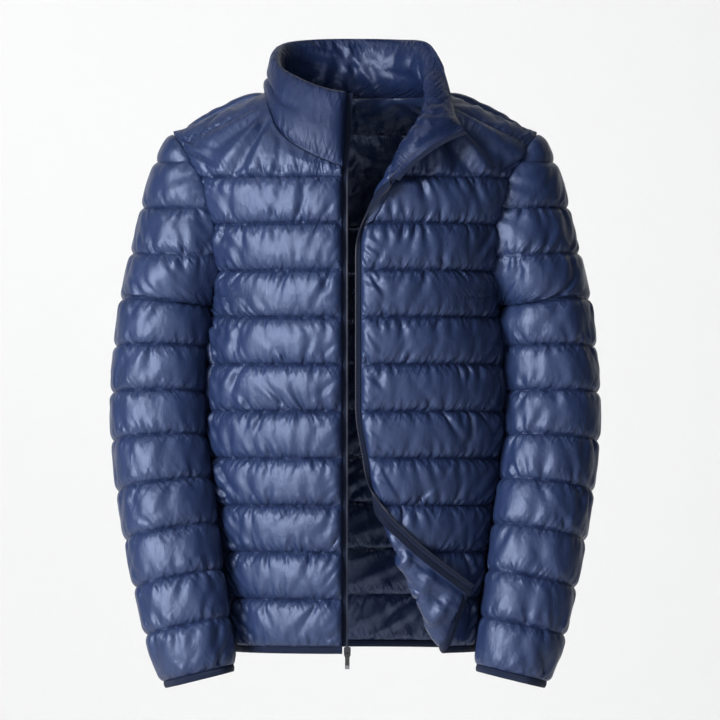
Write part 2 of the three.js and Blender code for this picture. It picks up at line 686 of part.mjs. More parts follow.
// The zip of one front: woven tape with its teeth along the free edge, from the collar's top to the hem
function zip(side, collarWall) {
  const surface = frontSurface(side);
  const edge = side < 0 ? RIGHT_EDGE_X : LEFT_EDGE_X;
  const rows = [];
  for (let k = COLLAR_ROWS; k >= 1; k--) {
    const last = side < 0 ? 0 : collarWall.inner[k].length - 1;
    const point = collarWall.inner[k][last];
    const above = collarWall.inner[Math.min(COLLAR_ROWS, k + 1)][last];
    const up = above.clone().sub(collarWall.inner[k - 1][last]);
    const direction = collarWall.outer[k][last].clone().sub(point).normalize();
    const away = new THREE.Vector3().crossVectors(direction, up).multiplyScalar(-side).normalize();
    rows.push(
      ZIP_SECTION.map(({ out, low, high }) =>
        [low, high].map((h) => point.clone().addScaledVector(away, out).addScaledVector(direction, h)),
      ),
    );
  }
  const foot = side < 0 ? [] : [HEM_Z - BINDING_HEIGHT];
  for (const z of [...BODY_ROWS.filter((level) => level <= NECK_FRONT_Z), ...foot])
    rows.push(
      ZIP_SECTION.map(({ out, low, high }) => {
        const angle = angleOfX(edge - out, z);
        const direction = normalOf(surface, angle, z, 0.003, STEP);
        const points = [low, high].map((h) => surface(angle, z).addScaledVector(direction, h));
        return side < 0 ? points.map((point) => point.setX(-point.x)) : points;
      }),
    );
  return wall(
    rows.map((row) => row.map((pair) => pair[0])),
    rows.map((row) => row.map((pair) => pair[1])),
  );
}

// A binding below a panel's last row
function binding(surface, places, top, height, flip) {
  const rows = [top - SEAM_GAP, top - height];
  const grid = (h) =>
    rows.map((z) =>
      places.map((place) => {
        const direction = normalOf(surface, place, z, 0.003, STEP);
        const point = surface(place, z).addScaledVector(direction, h);
        return flip ? point.setX(-point.x) : point;
      }),
    );
  return wall(grid(-0.5), grid(BINDING_THICK - 0.5));
}

function frontBinding(side) {
  const edge = side < 0 ? RIGHT_EDGE_X : LEFT_EDGE_X;
  const places = frontPlaces(HEM_Z, edge, side > 0);
  places[places.length - 1] -= SEAM_GAP / 2 / halfWidthAt(HEM_Z);
  return binding(frontSurface(side), places, HEM_Z, BINDING_HEIGHT, side < 0);
}

function backBinding() {
  const border = outerAngle(HEM_Z) + SEAM_GAP / 2 / halfWidthAt(HEM_Z);
  const places = [border, ...evenly(border, 2 * Math.PI - border, BACK_COLUMNS)];
  return binding(torso, places, HEM_Z, BINDING_HEIGHT, false);
}

function cuffBinding(side) {
  const places = [-1, ...evenly(-1, 1, SLEEVE_COLUMNS)];
  return binding(sleeveSurface, places, CUFF_Z, BINDING_HEIGHT, side < 0);
}

// Puts a manifold-3d solid into a three.js geometry
function geometryOf(solid) {
  const mesh = solid.getMesh();
  const geometry = new THREE.BufferGeometry();
  const positions = [];
  for (let i = 0; i < mesh.numVert; i++)
    for (let k = 0; k < 3; k++) positions.push(mesh.vertProperties[i * mesh.numProp + k]);
  geometry.setAttribute("position", new THREE.Float32BufferAttribute(positions, 3));
  geometry.setIndex([...mesh.triVerts]);
  return geometry;
}

const { Manifold, CrossSection } = await Module().then((kit) => {
  kit.setup();
  return kit;
});

// The zip's slider and its pull hang at the foot of the wearer's right front
const sliderX = -(RIGHT_EDGE_X - 6.2);
const sliderY = torso(angleOfX(-sliderX, SLIDER.top), SLIDER.top).y - 1.5;
const pinY = sliderY - SLIDER.depth / 2 - PIN.ahead;
const pinZ = SLIDER.top - SLIDER.height + PIN.below;

function slider() {
  const { width, depth, height, top } = SLIDER;
  const outline = [
    [-width / 2, 0],
    [-width / 2, -height * 0.45],
    [-width * 0.36, -height],
    [width * 0.36, -height],
    [width / 2, -height * 0.45],
    [width / 2, 0],
    [width * 0.3, 0.9],
    [-width * 0.3, 0.9],
  ];
  const body = Manifold.extrude(CrossSection.ofPolygons([outline]), depth)
    .rotate([90, 0, 0])
    .translate([sliderX, sliderY + depth / 2, top]);
  const lug = Manifold.cube([PIN.lug, PIN.ahead + 2 * PIN.radius + 0.4, 2.8 * PIN.radius], false);
  const lugAt = (x) => lug.translate([x, pinY - PIN.radius - 0.2, pinZ - 1.4 * PIN.radius]);
  const pin = Manifold.cylinder(2 * PIN.reach, PIN.radius, PIN.radius, 12, true)
    .rotate([0, 90, 0])
    .translate([sliderX, pinY, pinZ]);
  const lugs = [lugAt(sliderX - PIN.reach), lugAt(sliderX + PIN.reach - PIN.lug)];
  return geometryOf(Manifold.union([body, pin, ...lugs]));
}

function pull() {
  const { width, thick, length, eye, bore } = PULL;
  const ring = Manifold.cylinder(width, eye, eye, 20, true);
  const tail = Manifold.cube([length, thick, width], false).translate([0, -thick / 2, -width / 2]);
  const hole = Manifold.cylinder(width + 2, bore, bore, 20, true);
  const solid = Manifold.union([ring, tail]).subtract(hole);
  return geometryOf(solid.rotate([0, 90, 0]).translate([sliderX, pinY, pinZ]));
}

const collarWall = collar();
const sleeve = sleevePanel();
addPiece("left_front", wall(leftFront.inner, leftFront.outer), CLOTH_BLUE);
addPiece("right_front", wall(rightFront.inner, rightFront.outer), CLOTH_BLUE);
addPiece("back", wall(back.inner, back.outer), CLOTH_BLUE);
addPiece("collar", wall(collarWall.inner, collarWall.outer), CLOTH_BLUE);
addPiece("left_sleeve", wall(sleeve.inner, sleeve.outer), CLOTH_BLUE);
addPiece("right_sleeve", wall(mirrored(sleeve.inner), mirrored(sleeve.outer)), CLOTH_BLUE);
addPiece("left_zip", zip(1, collarWall), TRIM_BLUE, 0.7);
addPiece("right_zip", zip(-1, collarWall), TRIM_BLUE, 0.7);
addPiece("left_hem_binding", frontBinding(1), TRIM_BLUE, 0.7);
addPiece("right_hem_binding", frontBinding(-1), TRIM_BLUE, 0.7);
addPiece("back_hem_binding", backBinding(), TRIM_BLUE, 0.7);
addPiece("left_cuff_binding", cuffBinding(1), TRIM_BLUE, 0.7);
addPiece("right_cuff_binding", cuffBinding(-1), TRIM_BLUE, 0.7);
addPiece("zip_slider", slider(), METAL_GREY, 0.35);
addPiece("zip_pull", pull(), PULL_BLACK, 0.5);

export default jacket;
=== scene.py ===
"""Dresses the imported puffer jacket: padded panels, collar, zips and bindings in glossy navy nylon.

Every cloth piece is a grid of points worked out with numpy from the same sizes as the solids, in
millimetres, then relaxed as cloth: lengths keep to the cut, the filling presses outwards, and the
stitched lines and seams hold it, so that it gathers beside them.
"""
import math

import bpy
import numpy as np
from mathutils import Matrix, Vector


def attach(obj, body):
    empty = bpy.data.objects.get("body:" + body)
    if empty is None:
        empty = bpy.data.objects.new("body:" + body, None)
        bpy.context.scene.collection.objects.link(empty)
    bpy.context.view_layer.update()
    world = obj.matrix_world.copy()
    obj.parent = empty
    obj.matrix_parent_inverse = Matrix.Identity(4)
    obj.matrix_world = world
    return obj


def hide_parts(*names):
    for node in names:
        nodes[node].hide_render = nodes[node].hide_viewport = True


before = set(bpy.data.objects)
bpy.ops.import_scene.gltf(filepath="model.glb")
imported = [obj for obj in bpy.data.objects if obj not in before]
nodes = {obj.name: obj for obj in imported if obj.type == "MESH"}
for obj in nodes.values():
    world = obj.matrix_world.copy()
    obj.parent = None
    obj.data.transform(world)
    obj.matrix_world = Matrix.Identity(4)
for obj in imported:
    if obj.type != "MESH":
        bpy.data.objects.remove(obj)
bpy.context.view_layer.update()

MM = 0.001

# Levels and seams of the body, in mm
NECK_SIDE_Z = -10.0
TIP_Z = -61.0
NECK_FRONT_Z = -104.0
UNDERARM_Z = -262.0
HEM_Z = -697.0
NECK_SIDE_X = 110.0
TIP_X = 227.0
SHOULDER_SLOPE = (NECK_SIDE_Z + 1 - TIP_Z) / (TIP_X - NECK_SIDE_X)
SHOULDER_ROUND = 110.0
RING_POWER = 2.3
RIGHT_EDGE_X = 16.0
LEFT_EDGE_X = 7.5
EDGE_PULL = 12.0
EDGE_PULL_TOP_Z = -400.0
EDGE_PULL_LENGTH = 95.0
EDGE_PULL_WIDTH = 135.0
ARMHOLE_HALF_DEPTH = 52.0
HALF_GAP = 0.15
GAP_ANGLE = 0.0009

# Quilting and wall: thicknesses, the filling's heights, and the stitched lines' places, in mm
WALL = 3.0
LIFT = 1.6
LOFT = 8.2
PRESSED_LOFT = 4.6
SLEEVE_LOFT = 6.8
SEAM_FADE = 15.0
BODY_STITCH_TOP = -113.0
BODY_PITCH = 58.4
SLEEVE_STITCH_TOP = -94.0
SLEEVE_PITCH = 57.8
CUFF_Z = -729.8
YOKE_DROP = 18.0
SLEEVE_PINCH = 1.1
COLLAR_HOLLOW = 9.0
COLLAR_HEIGHT = 62.0
DEEPEST = -1.2
ONE_LINE = 400.0
ROWS_A_CHANNEL = 23
BACK_ROWS_A_CHANNEL = 19

# Long folds over the chest: where they spread from, in mm, and their ways, in degrees
FAN_FROM = (87.0, -18.0)
FAN_RAYS = [-44, -33, -22, -12, -2, 8, 18, 28, 39, 50]

# Zips and bindings, in mm: each row of a tape's section is the way off the edge, low face, high face
TAPE_WIDTH = 8.0
NARROW_TAPE = [(-6.0, -0.6, 0.4), (-1.0, -0.4, 0.6), (0.6, 0.8, 2.0), (3.4, 0.9, 2.1), (5.4, 0.9, 2.0)]
WIDE_TAPE = [(-TAPE_WIDTH, -1.3, -0.5), (-1.4, -1.1, -0.1), (0.6, 0.6, 2.0), (3.4, 0.9, 2.1), (5.4, 0.9, 2.0)]
ZIP_FOOT_DROP = 9.0
ZIP_JOIN_GAP = 13.0
BINDING_ABOVE = 1.6
BINDING_BELOW = 9.0
BINDING_LIFT = 1.6
BINDING_BODY = 2.4
METAL_END = 4.5

# Colours, as linear red, green and blue
NAVY_DEEP = (0.008, 0.015, 0.046)
NAVY_BRIGHT = (0.015, 0.027, 0.078)
# Painted shade: the collar's two tones are darker copies of the navy, for the shade the collar stands in
COLLAR_SHADED_DEEP = (0.006, 0.011, 0.036)
COLLAR_SHADED_BRIGHT = (0.010, 0.019, 0.060)
# Painted shade: a darker navy that the lining is mixed a little towards, for the shade the lining lies in
LINING_PAINTED_SHADE = (0.004, 0.008, 0.026)
# Painted shade: a darker navy along each stitched line, for the shade in its groove
SEAM_PAINTED_SHADE = (0.004, 0.006, 0.02)
THREAD = (0.02, 0.032, 0.085)
NYLON_GLOSS = (0.62, 0.72, 1.0)
TRIM_GLOSS = (0.55, 0.66, 1.0)

# Details of the nylon's surface, in metres
PUCKER_REACH = 0.020
PUCKER_START = 0.0035
SEAM_LINE = 0.0009
STITCH = 0.0034
WEAVE = 0.0007

# The studio: metres and watts. A light is its name, place, target, size and power
FLOOR_Z = -1.6
WALL_Y = 4.0
WALL_TOP = 6.0
COVE_RADIUS = 0.5
FLOOR_FRONT_Y = -8.0
SWEEP_HALF_WIDTH = 9.0
MIDDLE = (0.0, 0.0, -0.36)
LIGHTS = [
    ("key", (-2.9, -3.3, 0.5), MIDDLE, (1.6, 1.3), 352),
    ("chest", (-1.7, -1.7, 2.0), (0.0, 0.0, -0.1), (0.6, 0.5), 20),
    ("front", (0.9, -4.6, 0.25), MIDDLE, (0.8, 0.9), 36),
    ("top", (-0.4, -0.6, 2.3), MIDDLE, (1.2, 0.5), 12),
    ("wash", (0.0, 0.8, 0.95), (0.0, 4.0, -1.15), (4.0, 1.2), 21),
]
DISTANCE = 9.0
JACKET_FRONT = 0.13
FIELD = 0.893
CAMERA_X = 0.006
CAMERA_Z = -0.341

# Tables over the height z: the torso's half sizes, the armhole's and the neck seam's x, the side
# seam's angle from the front centre, and the sleeve's rings at its head and down its tube
TORSO = {
    "z": [-716, -640, -564, -465, -400, -330, -262, -185, -130, -90, -61, 0],
    "half_width": [158, 162, 168, 178.5, 182, 180, 170, 184, 200, 221, 240, 240],
    "front": [115, 120, 124, 128, 129, 130, 130, 124, 116, 109, 102, 91],
    "back": [108, 110, 112, 114, 114, 116, 119, 121, 118, 113, 108, 100],
}
ARMHOLE = {"z": [-262, -235, -185, -130, -90, -61], "x": [170, 168, 172, 184, 205, 227]}
NECK = {"z": [-104, -94, -84, -66, -48, -25, -10], "x": [7, 34, 56, 83, 97, 105, 109.4]}
SIDE_SEAM = {
    "z": [-716, -634, -525, -455, -345, -285, -262],
    "angle": [63, 66, 71, 76, 71, 81, 90],
}
SLEEVE_HEAD = {
    "z": [-262, -217, -185, -149, -105, -84, -70, -61],
    "outer": [282, 272, 264, 256, 246, 240, 234, 228.5],
    "depth": [66, 66, 62, 57, 46, 34, 18, 1],
}
SLEEVE_TUBE = {
    "z": [-744, -730, -673, -609, -542, -480, -430, -390, -330, -292, -270, -262],
    "x": [192, 195, 206.5, 218.5, 230, 239, 244, 245, 242, 238.5, 233.5, 226],
    "y": [-100, -97, -85, -70, -53, -36, -24, -16, -10, -6, -2, 0],
    "half_width": [40, 40, 42.5, 45.5, 48, 49, 49, 48.5, 48, 48, 50, 56],
    "depth": [40, 40, 44, 48, 52, 55, 57, 58, 60, 62, 64, 66],
    "outward": [0.25, 0.25, 0.23, 0.2, 0.16, 0.09, 0.03, 0, 0, 0, 0, 0],
    "forward": [0.02, 0.02, 0.06, 0.1, 0.12, 0.12, 0.1, 0.08, 0.06, 0.03, 0.01, 0],
}
# The collar's upper edge from the back's middle to each front end, in mm
COLLAR_TOP_CLOSED = np.array(
    [
        [0, 70, 66],
        [-52, 62, 65],
        [-85, 35, 59],
        [-95, 0, 46],
        [-90, -38, 25],
        [-60, -66, 6],
        [-32, -80, -4],
        [-9, -86, -8],
    ],
    float,
)
COLLAR_TOP_OPEN = np.array(
    [
        [0, 70, 66],
        [50, 62, 65],
        [85, 30, 60],
        [101, 4, 39],
        [110, -24, 15],
        [116, -50, -5],
        [123, -80, -30],
        [136, -106, -56],
    ],
    float,
)
# The left front's two folds: each line's ends as x and z, how far the turned cloth climbs along it,
# and the roll's radius in mm and angle in radians at distances along the line
LAPEL = {
    "from": (6.0, -203.0),
    "to": (68.0, -78.0),
    "climb": 0.0,
    "at": [0, 40, 80, 150],
    "radius": [10, 12, 13, 12],
    "angle": [0.7, 1.5, 2.3, 2.6],
}
CORNER = {
    "from": (10.0, -464.0),
    "to": (111.0, -697.0),
    "climb": 0.5,
    "at": [0, 60, 150, 260],
    "radius": [7, 8.5, 11, 12],
    "angle": [2.4, 2.8, 2.95, 2.95],
}
FOLD_SPLIT_Z = -340.0
FOLD_MARGIN = 24.0
FOLD_EASE = 30.0

CURVE_STEPS = 60
ZIP_STEPS = 240
ZIP_POINTS = 380


def curve(at, to):
    """A smooth curve through a table's rows: cubic between neighbours, with harmonic-mean slopes."""
    at = np.array(at, float)
    to = np.array(to, float)
    rate = np.diff(to) / np.diff(at)
    slope = np.empty_like(at)
    slope[0], slope[-1] = rate[0], rate[-1]
    same = rate[:-1] * rate[1:] > 0
    total = np.where(same, rate[:-1] + rate[1:], 1)
    slope[1:-1] = np.where(same, 2 * rate[:-1] * rate[1:] / total, 0)

    def value(a):
        a = np.clip(a, at[0], at[-1])
        i = np.clip(np.searchsorted(at, a, side="right") - 1, 0, len(at) - 2)
        span = at[i + 1] - at[i]
        t = (a - at[i]) / span
        s = 1 - t
        return (
            (1 + 2 * t) * s * s * to[i]
            + t * s * s * span * slope[i]
            + t * t * (3 - 2 * t) * to[i + 1]
            - t * t * s * span * slope[i + 1]
        )

    return value


def columns(table):
    """One smooth curve over z for each other column of a table."""
    return {name: curve(table["z"], table[name]) for name in table if name != "z"}


torso_ring = columns(TORSO)
armhole_x = curve(ARMHOLE["z"], ARMHOLE["x"])
neck_x = curve(NECK["z"], NECK["x"])
side_seam = curve(SIDE_SEAM["z"], np.radians(SIDE_SEAM["angle"]))
head_ring = columns(SLEEVE_HEAD)
tube_ring = columns(SLEEVE_TUBE)
for fold in (LAPEL, CORNER):
    fold["radius_at"] = curve(fold["at"], fold["radius"])
    fold["angle_at"] = curve(fold["at"], fold["angle"])


def smoothstep(t):
    """0 below 0, 1 above 1, and t * t * (3 - 2 * t) between them."""
    t = np.clip(t, 0, 1)
    return t * t * (3 - 2 * t)


def signed_power(v, p):
    """The size raised to a power, with its sign kept."""
    return np.sign(v) * np.abs(v) ** p


def unit(v):
    """Vectors brought to length 1."""
    return v / np.maximum(np.linalg.norm(v, axis=-1, keepdims=True), 1e-9)


def ridge_z(x):
    """The shoulder line's height at x: a straight slope from the neck's side to the tip."""
    return NECK_SIDE_Z + 1 - (np.abs(x) - NECK_SIDE_X) * SHOULDER_SLOPE


def ridge_x(z):
    """The shoulder line's x at a height: the same slope turned round."""
    return NECK_SIDE_X + (NECK_SIDE_Z + 1 - z) / SHOULDER_SLOPE


def torso(angle, z):
    """The body's inner surface: a superellipse ring at each level, closing towards the shoulder line
    as a quarter circle of the depth below it. The angle runs from the front centre to the left."""
    angle, z = np.broadcast_arrays(angle, z)
    x = torso_ring["half_width"](z) * signed_power(np.sin(angle), 2 / RING_POWER)
    forward = np.cos(angle)
    depth = np.where(forward > 0, torso_ring["front"](z), torso_ring["back"](z))
    below = np.clip((ridge_z(x) - z) / SHOULDER_ROUND, 0, 1)
    y = -depth * signed_power(forward, 2 / RING_POWER) * np.sqrt(1 - (1 - below) ** 2)
    return np.stack([x, y, z + 0.0 * x], -1)


def angle_of_x(x, z):
    """The ring's angle at which it is x wide, on the front and the left."""
    return np.arcsin(np.clip(x / torso_ring["half_width"](z), 0, 1) ** (RING_POWER / 2))


def outer_angle(z):
    """A front's outer border: side seam, then armhole, then shoulder line."""
    on_armhole = angle_of_x(armhole_x(z), z)
    on_ridge = angle_of_x(ridge_x(z), z)
    return np.where(z < UNDERARM_Z, side_seam(z), np.where(z <= TIP_Z, on_armhole, on_ridge))


def normal_of(surface, a, b, step_a=0.003, step_b=0.4):
    """The surface's unit normal by central differences in both of its parameters."""
    along_a = surface(a + step_a, b) - surface(a - step_a, b)
    along_b = surface(a, b + step_b) - surface(a, b - step_b)
    return unit(np.cross(along_a, along_b))


def front_sheet(x, z):
    """The front before it is folded, by x and z in place of the angle."""
    return torso(angle_of_x(np.maximum(x, 0), z), z)


def place_on_fold(fold, x, z):
    """Where a point of the flat front lies against a fold line: along it, and across it inwards."""
    run = np.array([fold["to"][0] - fold["from"][0], fold["to"][1] - fold["from"][1]])
    length = np.hypot(*run)
    dx, dz = x - fold["from"][0], z - fold["from"][1]
    side = 1 if run[1] > 0 else -1
    along = (dx * run[0] + dz * run[1]) / length
    across = -side * (dx * run[1] - dz * run[0]) / length
    return along, across, run / length


def fold_once(fold, x, z):
    """Past the fold line the sheet rolls outwards round a soft radius, then runs straight:
    point on the line + inward * r sin(q/r) + outward * r (1 - cos(q/r)), with q the way across."""
    along, across, run = place_on_fold(fold, x, z)
    line_x = fold["from"][0] + run[0] * along
    line_z = fold["from"][1] + run[1] * along
    here = front_sheet(line_x, line_z)
    tangent = unit(front_sheet(line_x + run[0] * 0.4, line_z + run[1] * 0.4) - here)
    outward = normal_of(front_sheet, line_x, line_z, 0.4, 0.4)
    inward = unit(np.cross(tangent, outward))
    inward = np.where(inward[..., :1] > 0, -inward, inward)
    radius = fold["radius_at"](along)
    most = fold["angle_at"](along)
    turned = np.clip(across / radius, 0, most)
    straight = np.maximum(0, across - radius * most)
    sideways = radius * np.sin(turned) + straight * np.cos(turned)
    lifted = radius * (1 - np.cos(turned)) + straight * np.sin(turned)
    rolled = here + inward * sideways[..., None] + outward * lifted[..., None]
    rolled -= tangent * (fold["climb"] * straight)[..., None]
    past = (across > 0) & (along >= 0)
    return np.where(past[..., None], rolled, front_sheet(x, z))


def folded_front(x, z):
    """The left front: its lapel rolled out above the split level, its hem corner turned back below it."""
    upper = fold_once(LAPEL, x, z)
    lower = fold_once(CORNER, x, z)
    return np.where((z > FOLD_SPLIT_Z)[..., None], upper, lower)


def unfolded(x, z):
    """1 on the flat of the left front, 0 where it is rolled tight or turned back."""
    up_along, up_across, _ = place_on_fold(LAPEL, x + FOLD_MARGIN, z)
    low_along, low_across, _ = place_on_fold(CORNER, x + FOLD_MARGIN, z)
    along = np.where(z > FOLD_SPLIT_Z, up_along, low_along)
    across = np.where(z > FOLD_SPLIT_Z, up_across, low_across)
    return np.where(along < 0, 1, 1 - smoothstep(across / FOLD_EASE))


def edge_pull(x, z):
    """How far the lower front edge is drawn aside: most at the hem and the edge, and less above and aside."""
    fall = smoothstep((EDGE_PULL_TOP_Z - z) / EDGE_PULL_LENGTH)
    return EDGE_PULL * fall * (1 - smoothstep(x / EDGE_PULL_WIDTH))


def left_surface(angle, z):
    """The left front's inner surface: the torso's point, drawn aside and then folded."""
    flat = torso(angle, z)[..., 0]
    return folded_front(flat + edge_pull(flat, z), np.broadcast_to(z, flat.shape) + 0.0)


def armhole_direction(points):
    """The way in which walls thicken at the armhole: outwards from its middle, and a little sideways."""
    y = points[..., 1] / ARMHOLE_HALF_DEPTH**2
    z = (points[..., 2] - (UNDERARM_Z + TIP_Z) / 2) / ((TIP_Z - UNDERARM_Z) / 2) ** 2
    long = np.hypot(y, z)
    return unit(np.stack([0.15 + 0.45 * np.abs(z) / long, y / long, z / long], -1))


def neck_direction(points, own):
    """The way walls thicken at the neck: halfway from the panel's own normal to straight out."""
    away = points * [1, 1, 0] + [0, 10, 0]
    return unit(unit(away) + own)


def spread_evenly(points, extras, count):
    """Resamples each row of a dense grid at even steps of its own length, with the extra columns."""
    steps = np.linalg.norm(np.diff(points, axis=1), axis=-1)
    run = np.concatenate([np.zeros((len(points), 1)), np.cumsum(steps, 1)], 1)
    share = np.linspace(0, 1, count)
    out = np.empty((len(points), count, 3 + len(extras)))
    for i, row in enumerate(points):
        at = share * run[i, -1]
        for k in range(3):
            out[i, :, k] = np.interp(at, run[i], row[:, k])
        for k, extra in enumerate(extras):
            out[i, :, 3 + k] = np.interp(at, run[i], extra[i])
    return out[..., :3], [out[..., 3 + k] for k in range(len(extras))]


def grid_normals(points):
    """Unit normals of a grid of points, from the cross product of its two directions."""
    across = np.gradient(points, axis=1)
    down = np.gradient(points, axis=0)
    return unit(np.cross(down, across))


def ease_border(normals, border, at, reach):
    """Turns the normals of the columns next to a seam smoothly into the seam's own direction."""
    for k in range(reach):
        share = 1 - smoothstep(k / reach)
        column = at + k if at >= 0 else at - k
        normals[:, column] = unit(normals[:, column] * (1 - share) + border * share)
    return normals


def arch(phase):
    """A full arch, 0 at both ends of a channel and 1 between them: the down sags a little in it."""
    sagged = phase**0.9
    return np.maximum(0, 4 * sagged * (1 - sagged)) ** 0.72


def channel(z, top, pitch, above):
    """The height across one quilted channel as a share, 0 on its stitched lines."""
    phase = np.where(z <= top, ((top - z) / pitch) % 1, 0.5)
    over = np.sqrt(np.clip(1 - (1 - np.clip((z - top) / above, 0, 1)) ** 2, 0, 1))
    return np.where(z <= top, arch(phase), over)


def front_channel(x, z):
    """A front's channels: level below its first line, and one that runs along the shoulder above it."""
    below = ridge_z(x) - z
    above = z - BODY_STITCH_TOP
    yoke = below < YOKE_DROP
    height = np.where(yoke, YOKE_DROP, np.maximum(below - YOKE_DROP + above, 1))
    phase = np.clip(np.where(yoke, below / YOKE_DROP, above / height), 0, 1)
    fullness = np.minimum(1, height / (BODY_PITCH * 0.8))
    upper = fullness * arch(phase)
    return np.where(z <= BODY_STITCH_TOP, channel(z, BODY_STITCH_TOP, BODY_PITCH, 30), upper)


def waves(points, count, shortest, longest, seed, squeeze=(1, 1, 1)):
    """Soft noise: a sum of sine waves in random directions, of random lengths between two limits."""
    random = np.random.default_rng(seed)
    total = np.zeros(points.shape[:-1])
    for _ in range(count):
        way = unit(random.normal(size=3) * squeeze)
        length = random.uniform(shortest, longest)
        total += np.sin(points @ way * (2 * math.pi / length) + random.uniform(0, 2 * math.pi))
    return total / math.sqrt(count)


def crumple(points, count, shortest, longest, seed):
    """Creases of thin stiff cloth: waves folded to sharp lines, bent, and strong only in places."""
    random = np.random.default_rng(seed)
    total = np.zeros(points.shape[:-1])
    for k in range(count):
        way = unit(random.normal(size=3) * [1, 1, 0.7])
        length = random.uniform(shortest, longest)
        bend = waves(points, 3, 110, 320, seed + 31 * k + 7) * 0.9
        turn = points @ way * (math.pi / length) + random.uniform(0, math.pi) + bend
        strong = np.clip(0.25 + waves(points, 4, 60, 170, seed + 17 * k + 3), 0, 1.4)
        total += random.choice([-1, 1]) * (0.64 - np.abs(np.sin(turn))) * strong
    return total / math.sqrt(count)


def gathers(u, v, pitch, seed, spacing=(6, 17), depth=(1.2, 4.4), reach=(8, 36), lean=0.0):
    """Short pinched creases that start at the stitched lines, on both of their sides: each is a valley
    across the line with a ridge beside it, narrow at the line and wider further off, leaning a little,
    at random spacings. With ONE_LINE as the pitch they start from one seam alone."""
    random = np.random.default_rng(seed)
    total = np.zeros_like(u)
    for line in range(max(0, math.floor(v.min() / pitch)), math.ceil(v.max() / pitch) + 1):
        for side in (-1, 1):
            off = side * (v - line * pitch)
            beside = (off > 0) & (off < min(0.85 * pitch, 60))
            if not beside.any():
                continue
            off = off[beside][:, None]
            at = np.cumsum(random.uniform(*spacing, size=120)) - 25
            at = at[at < u.max() + 25]
            tilt = lean + random.normal(0, 0.32, len(at))
            width = random.uniform(1.7, 3.0, len(at)) + 0.14 * off
            size = random.uniform(*depth, len(at)) * random.choice([0.45, 1.0], len(at))
            fall = np.exp(-((off / random.uniform(*reach, len(at))) ** 2)) * (1 - np.exp(-off / 2.0))
            across = (u[beside][:, None] - at - tilt * off) / width
            shape = np.exp(-(across**2)) - 0.35 * np.exp(-((across - 1.8) ** 2))
            total[beside] -= np.sum(size * fall * shape, 1)
    return total


def settle(base, normals, free, loft, gather, rounds, seed, cap=4.0):
    """Relaxes a padded cover as cloth. Threads between neighbours keep the length that they have on
    the arched channels, lengthened by the gather; the filling pushes outwards; stitches hold still.
    Returns the points. The gather is a share, and is taken across, along the stitched lines."""
    random = np.random.default_rng(seed)
    target = base + normals * loft[..., None]
    rough = random.normal(size=base.shape[:2])
    for _ in range(3):
        rough[:, 1:-1] = (rough[:, :-2] + rough[:, 1:-1] * 2 + rough[:, 2:]) / 4
        for _ in range(3):
            rough[1:-1] = (rough[:-2] + rough[1:-1] * 2 + rough[2:]) / 4
    rough /= max(rough.std(), 1e-6)
    x = target + normals * (free * rough * 0.5)[..., None]
    free = free[..., None]
    rest_across = np.linalg.norm(np.diff(target, axis=1), axis=-1)
    rest_across = rest_across * (1 + (gather[:, 1:] + gather[:, :-1]) / 2)
    rest_down = np.linalg.norm(np.diff(target, axis=0), axis=-1)
    rest_down = rest_down * (1 + 0.17 * (gather[1:] + gather[:-1]))
    longer = 1 + (gather[1:, 1:] + gather[:-1, :-1]) / 4
    rest_fall = np.linalg.norm(target[1:, 1:] - target[:-1, :-1], axis=-1) * longer
    rest_rise = np.linalg.norm(target[1:, :-1] - target[:-1, 1:], axis=-1) * longer
    bent_across = target[:, 2:] - 2 * target[:, 1:-1] + target[:, :-2]
    bent_down = target[2:] - 2 * target[1:-1] + target[:-2]
    for step in range(rounds):
        if step % 6 == 0:
            push = grid_normals(x)
            push = push * np.sign(np.sum(push * normals, -1, keepdims=True))
        move = np.zeros_like(x)

        def thread(low, high, rest, stiff):
            gap = x[high] - x[low]
            long = np.maximum(np.linalg.norm(gap, axis=-1), 1e-4)
            pull = gap * (0.5 * stiff * (1 - rest / long))[..., None]
            move[low] += pull
            move[high] -= pull

        body = slice(None)
        thread((body, slice(None, -1)), (body, slice(1, None)), rest_across, 1.0)
        thread((slice(None, -1), body), (slice(1, None), body), rest_down, 1.0)
        first, second = slice(None, -1), slice(1, None)
        thread((first, first), (second, second), rest_fall, 0.25)
        thread((first, second), (second, first), rest_rise, 0.25)
        move[:, 1:-1] += 0.06 * (x[:, 2:] - 2 * x[:, 1:-1] + x[:, :-2] - bent_across)
        move[1:-1] += 0.06 * (x[2:] - 2 * x[1:-1] + x[:-2] - bent_down)
        x += free * (0.62 * move + push * 0.035)
        height = np.sum((x - target) * normals, -1, keepdims=True)
        x += normals * (np.clip(height, -cap, cap) - height) * free
    return x


def mesh_piece(name, points, faces, body, material, uv=None, marks=None):
    """Puts points in mm and faces into a new object that rides on a body of the frame."""
    mesh = bpy.data.meshes.new(name)
    mesh.from_pydata((points * MM).tolist(), [], faces.tolist())
    mesh.update()
    mesh.shade_smooth()
    mesh.set_sharp_from_angle(angle=math.radians(55))
    corners = np.empty(len(mesh.loops), np.int32)
    mesh.loops.foreach_get("vertex_index", corners)
    if uv is not None:
        layer = mesh.uv_layers.new(name="cloth")
        layer.data.foreach_set("uv", uv[corners].astype(np.float32).ravel())
    for mark, values in (marks or {}).items():
        layer = mesh.attributes.new(mark, "FLOAT", "POINT")
        layer.data.foreach_set("value", values.astype(np.float32).ravel())
    piece = bpy.data.objects.new(name, mesh)
    bpy.context.scene.collection.objects.link(piece)
    mesh.materials.append(material)
    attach(piece, body)
    return piece


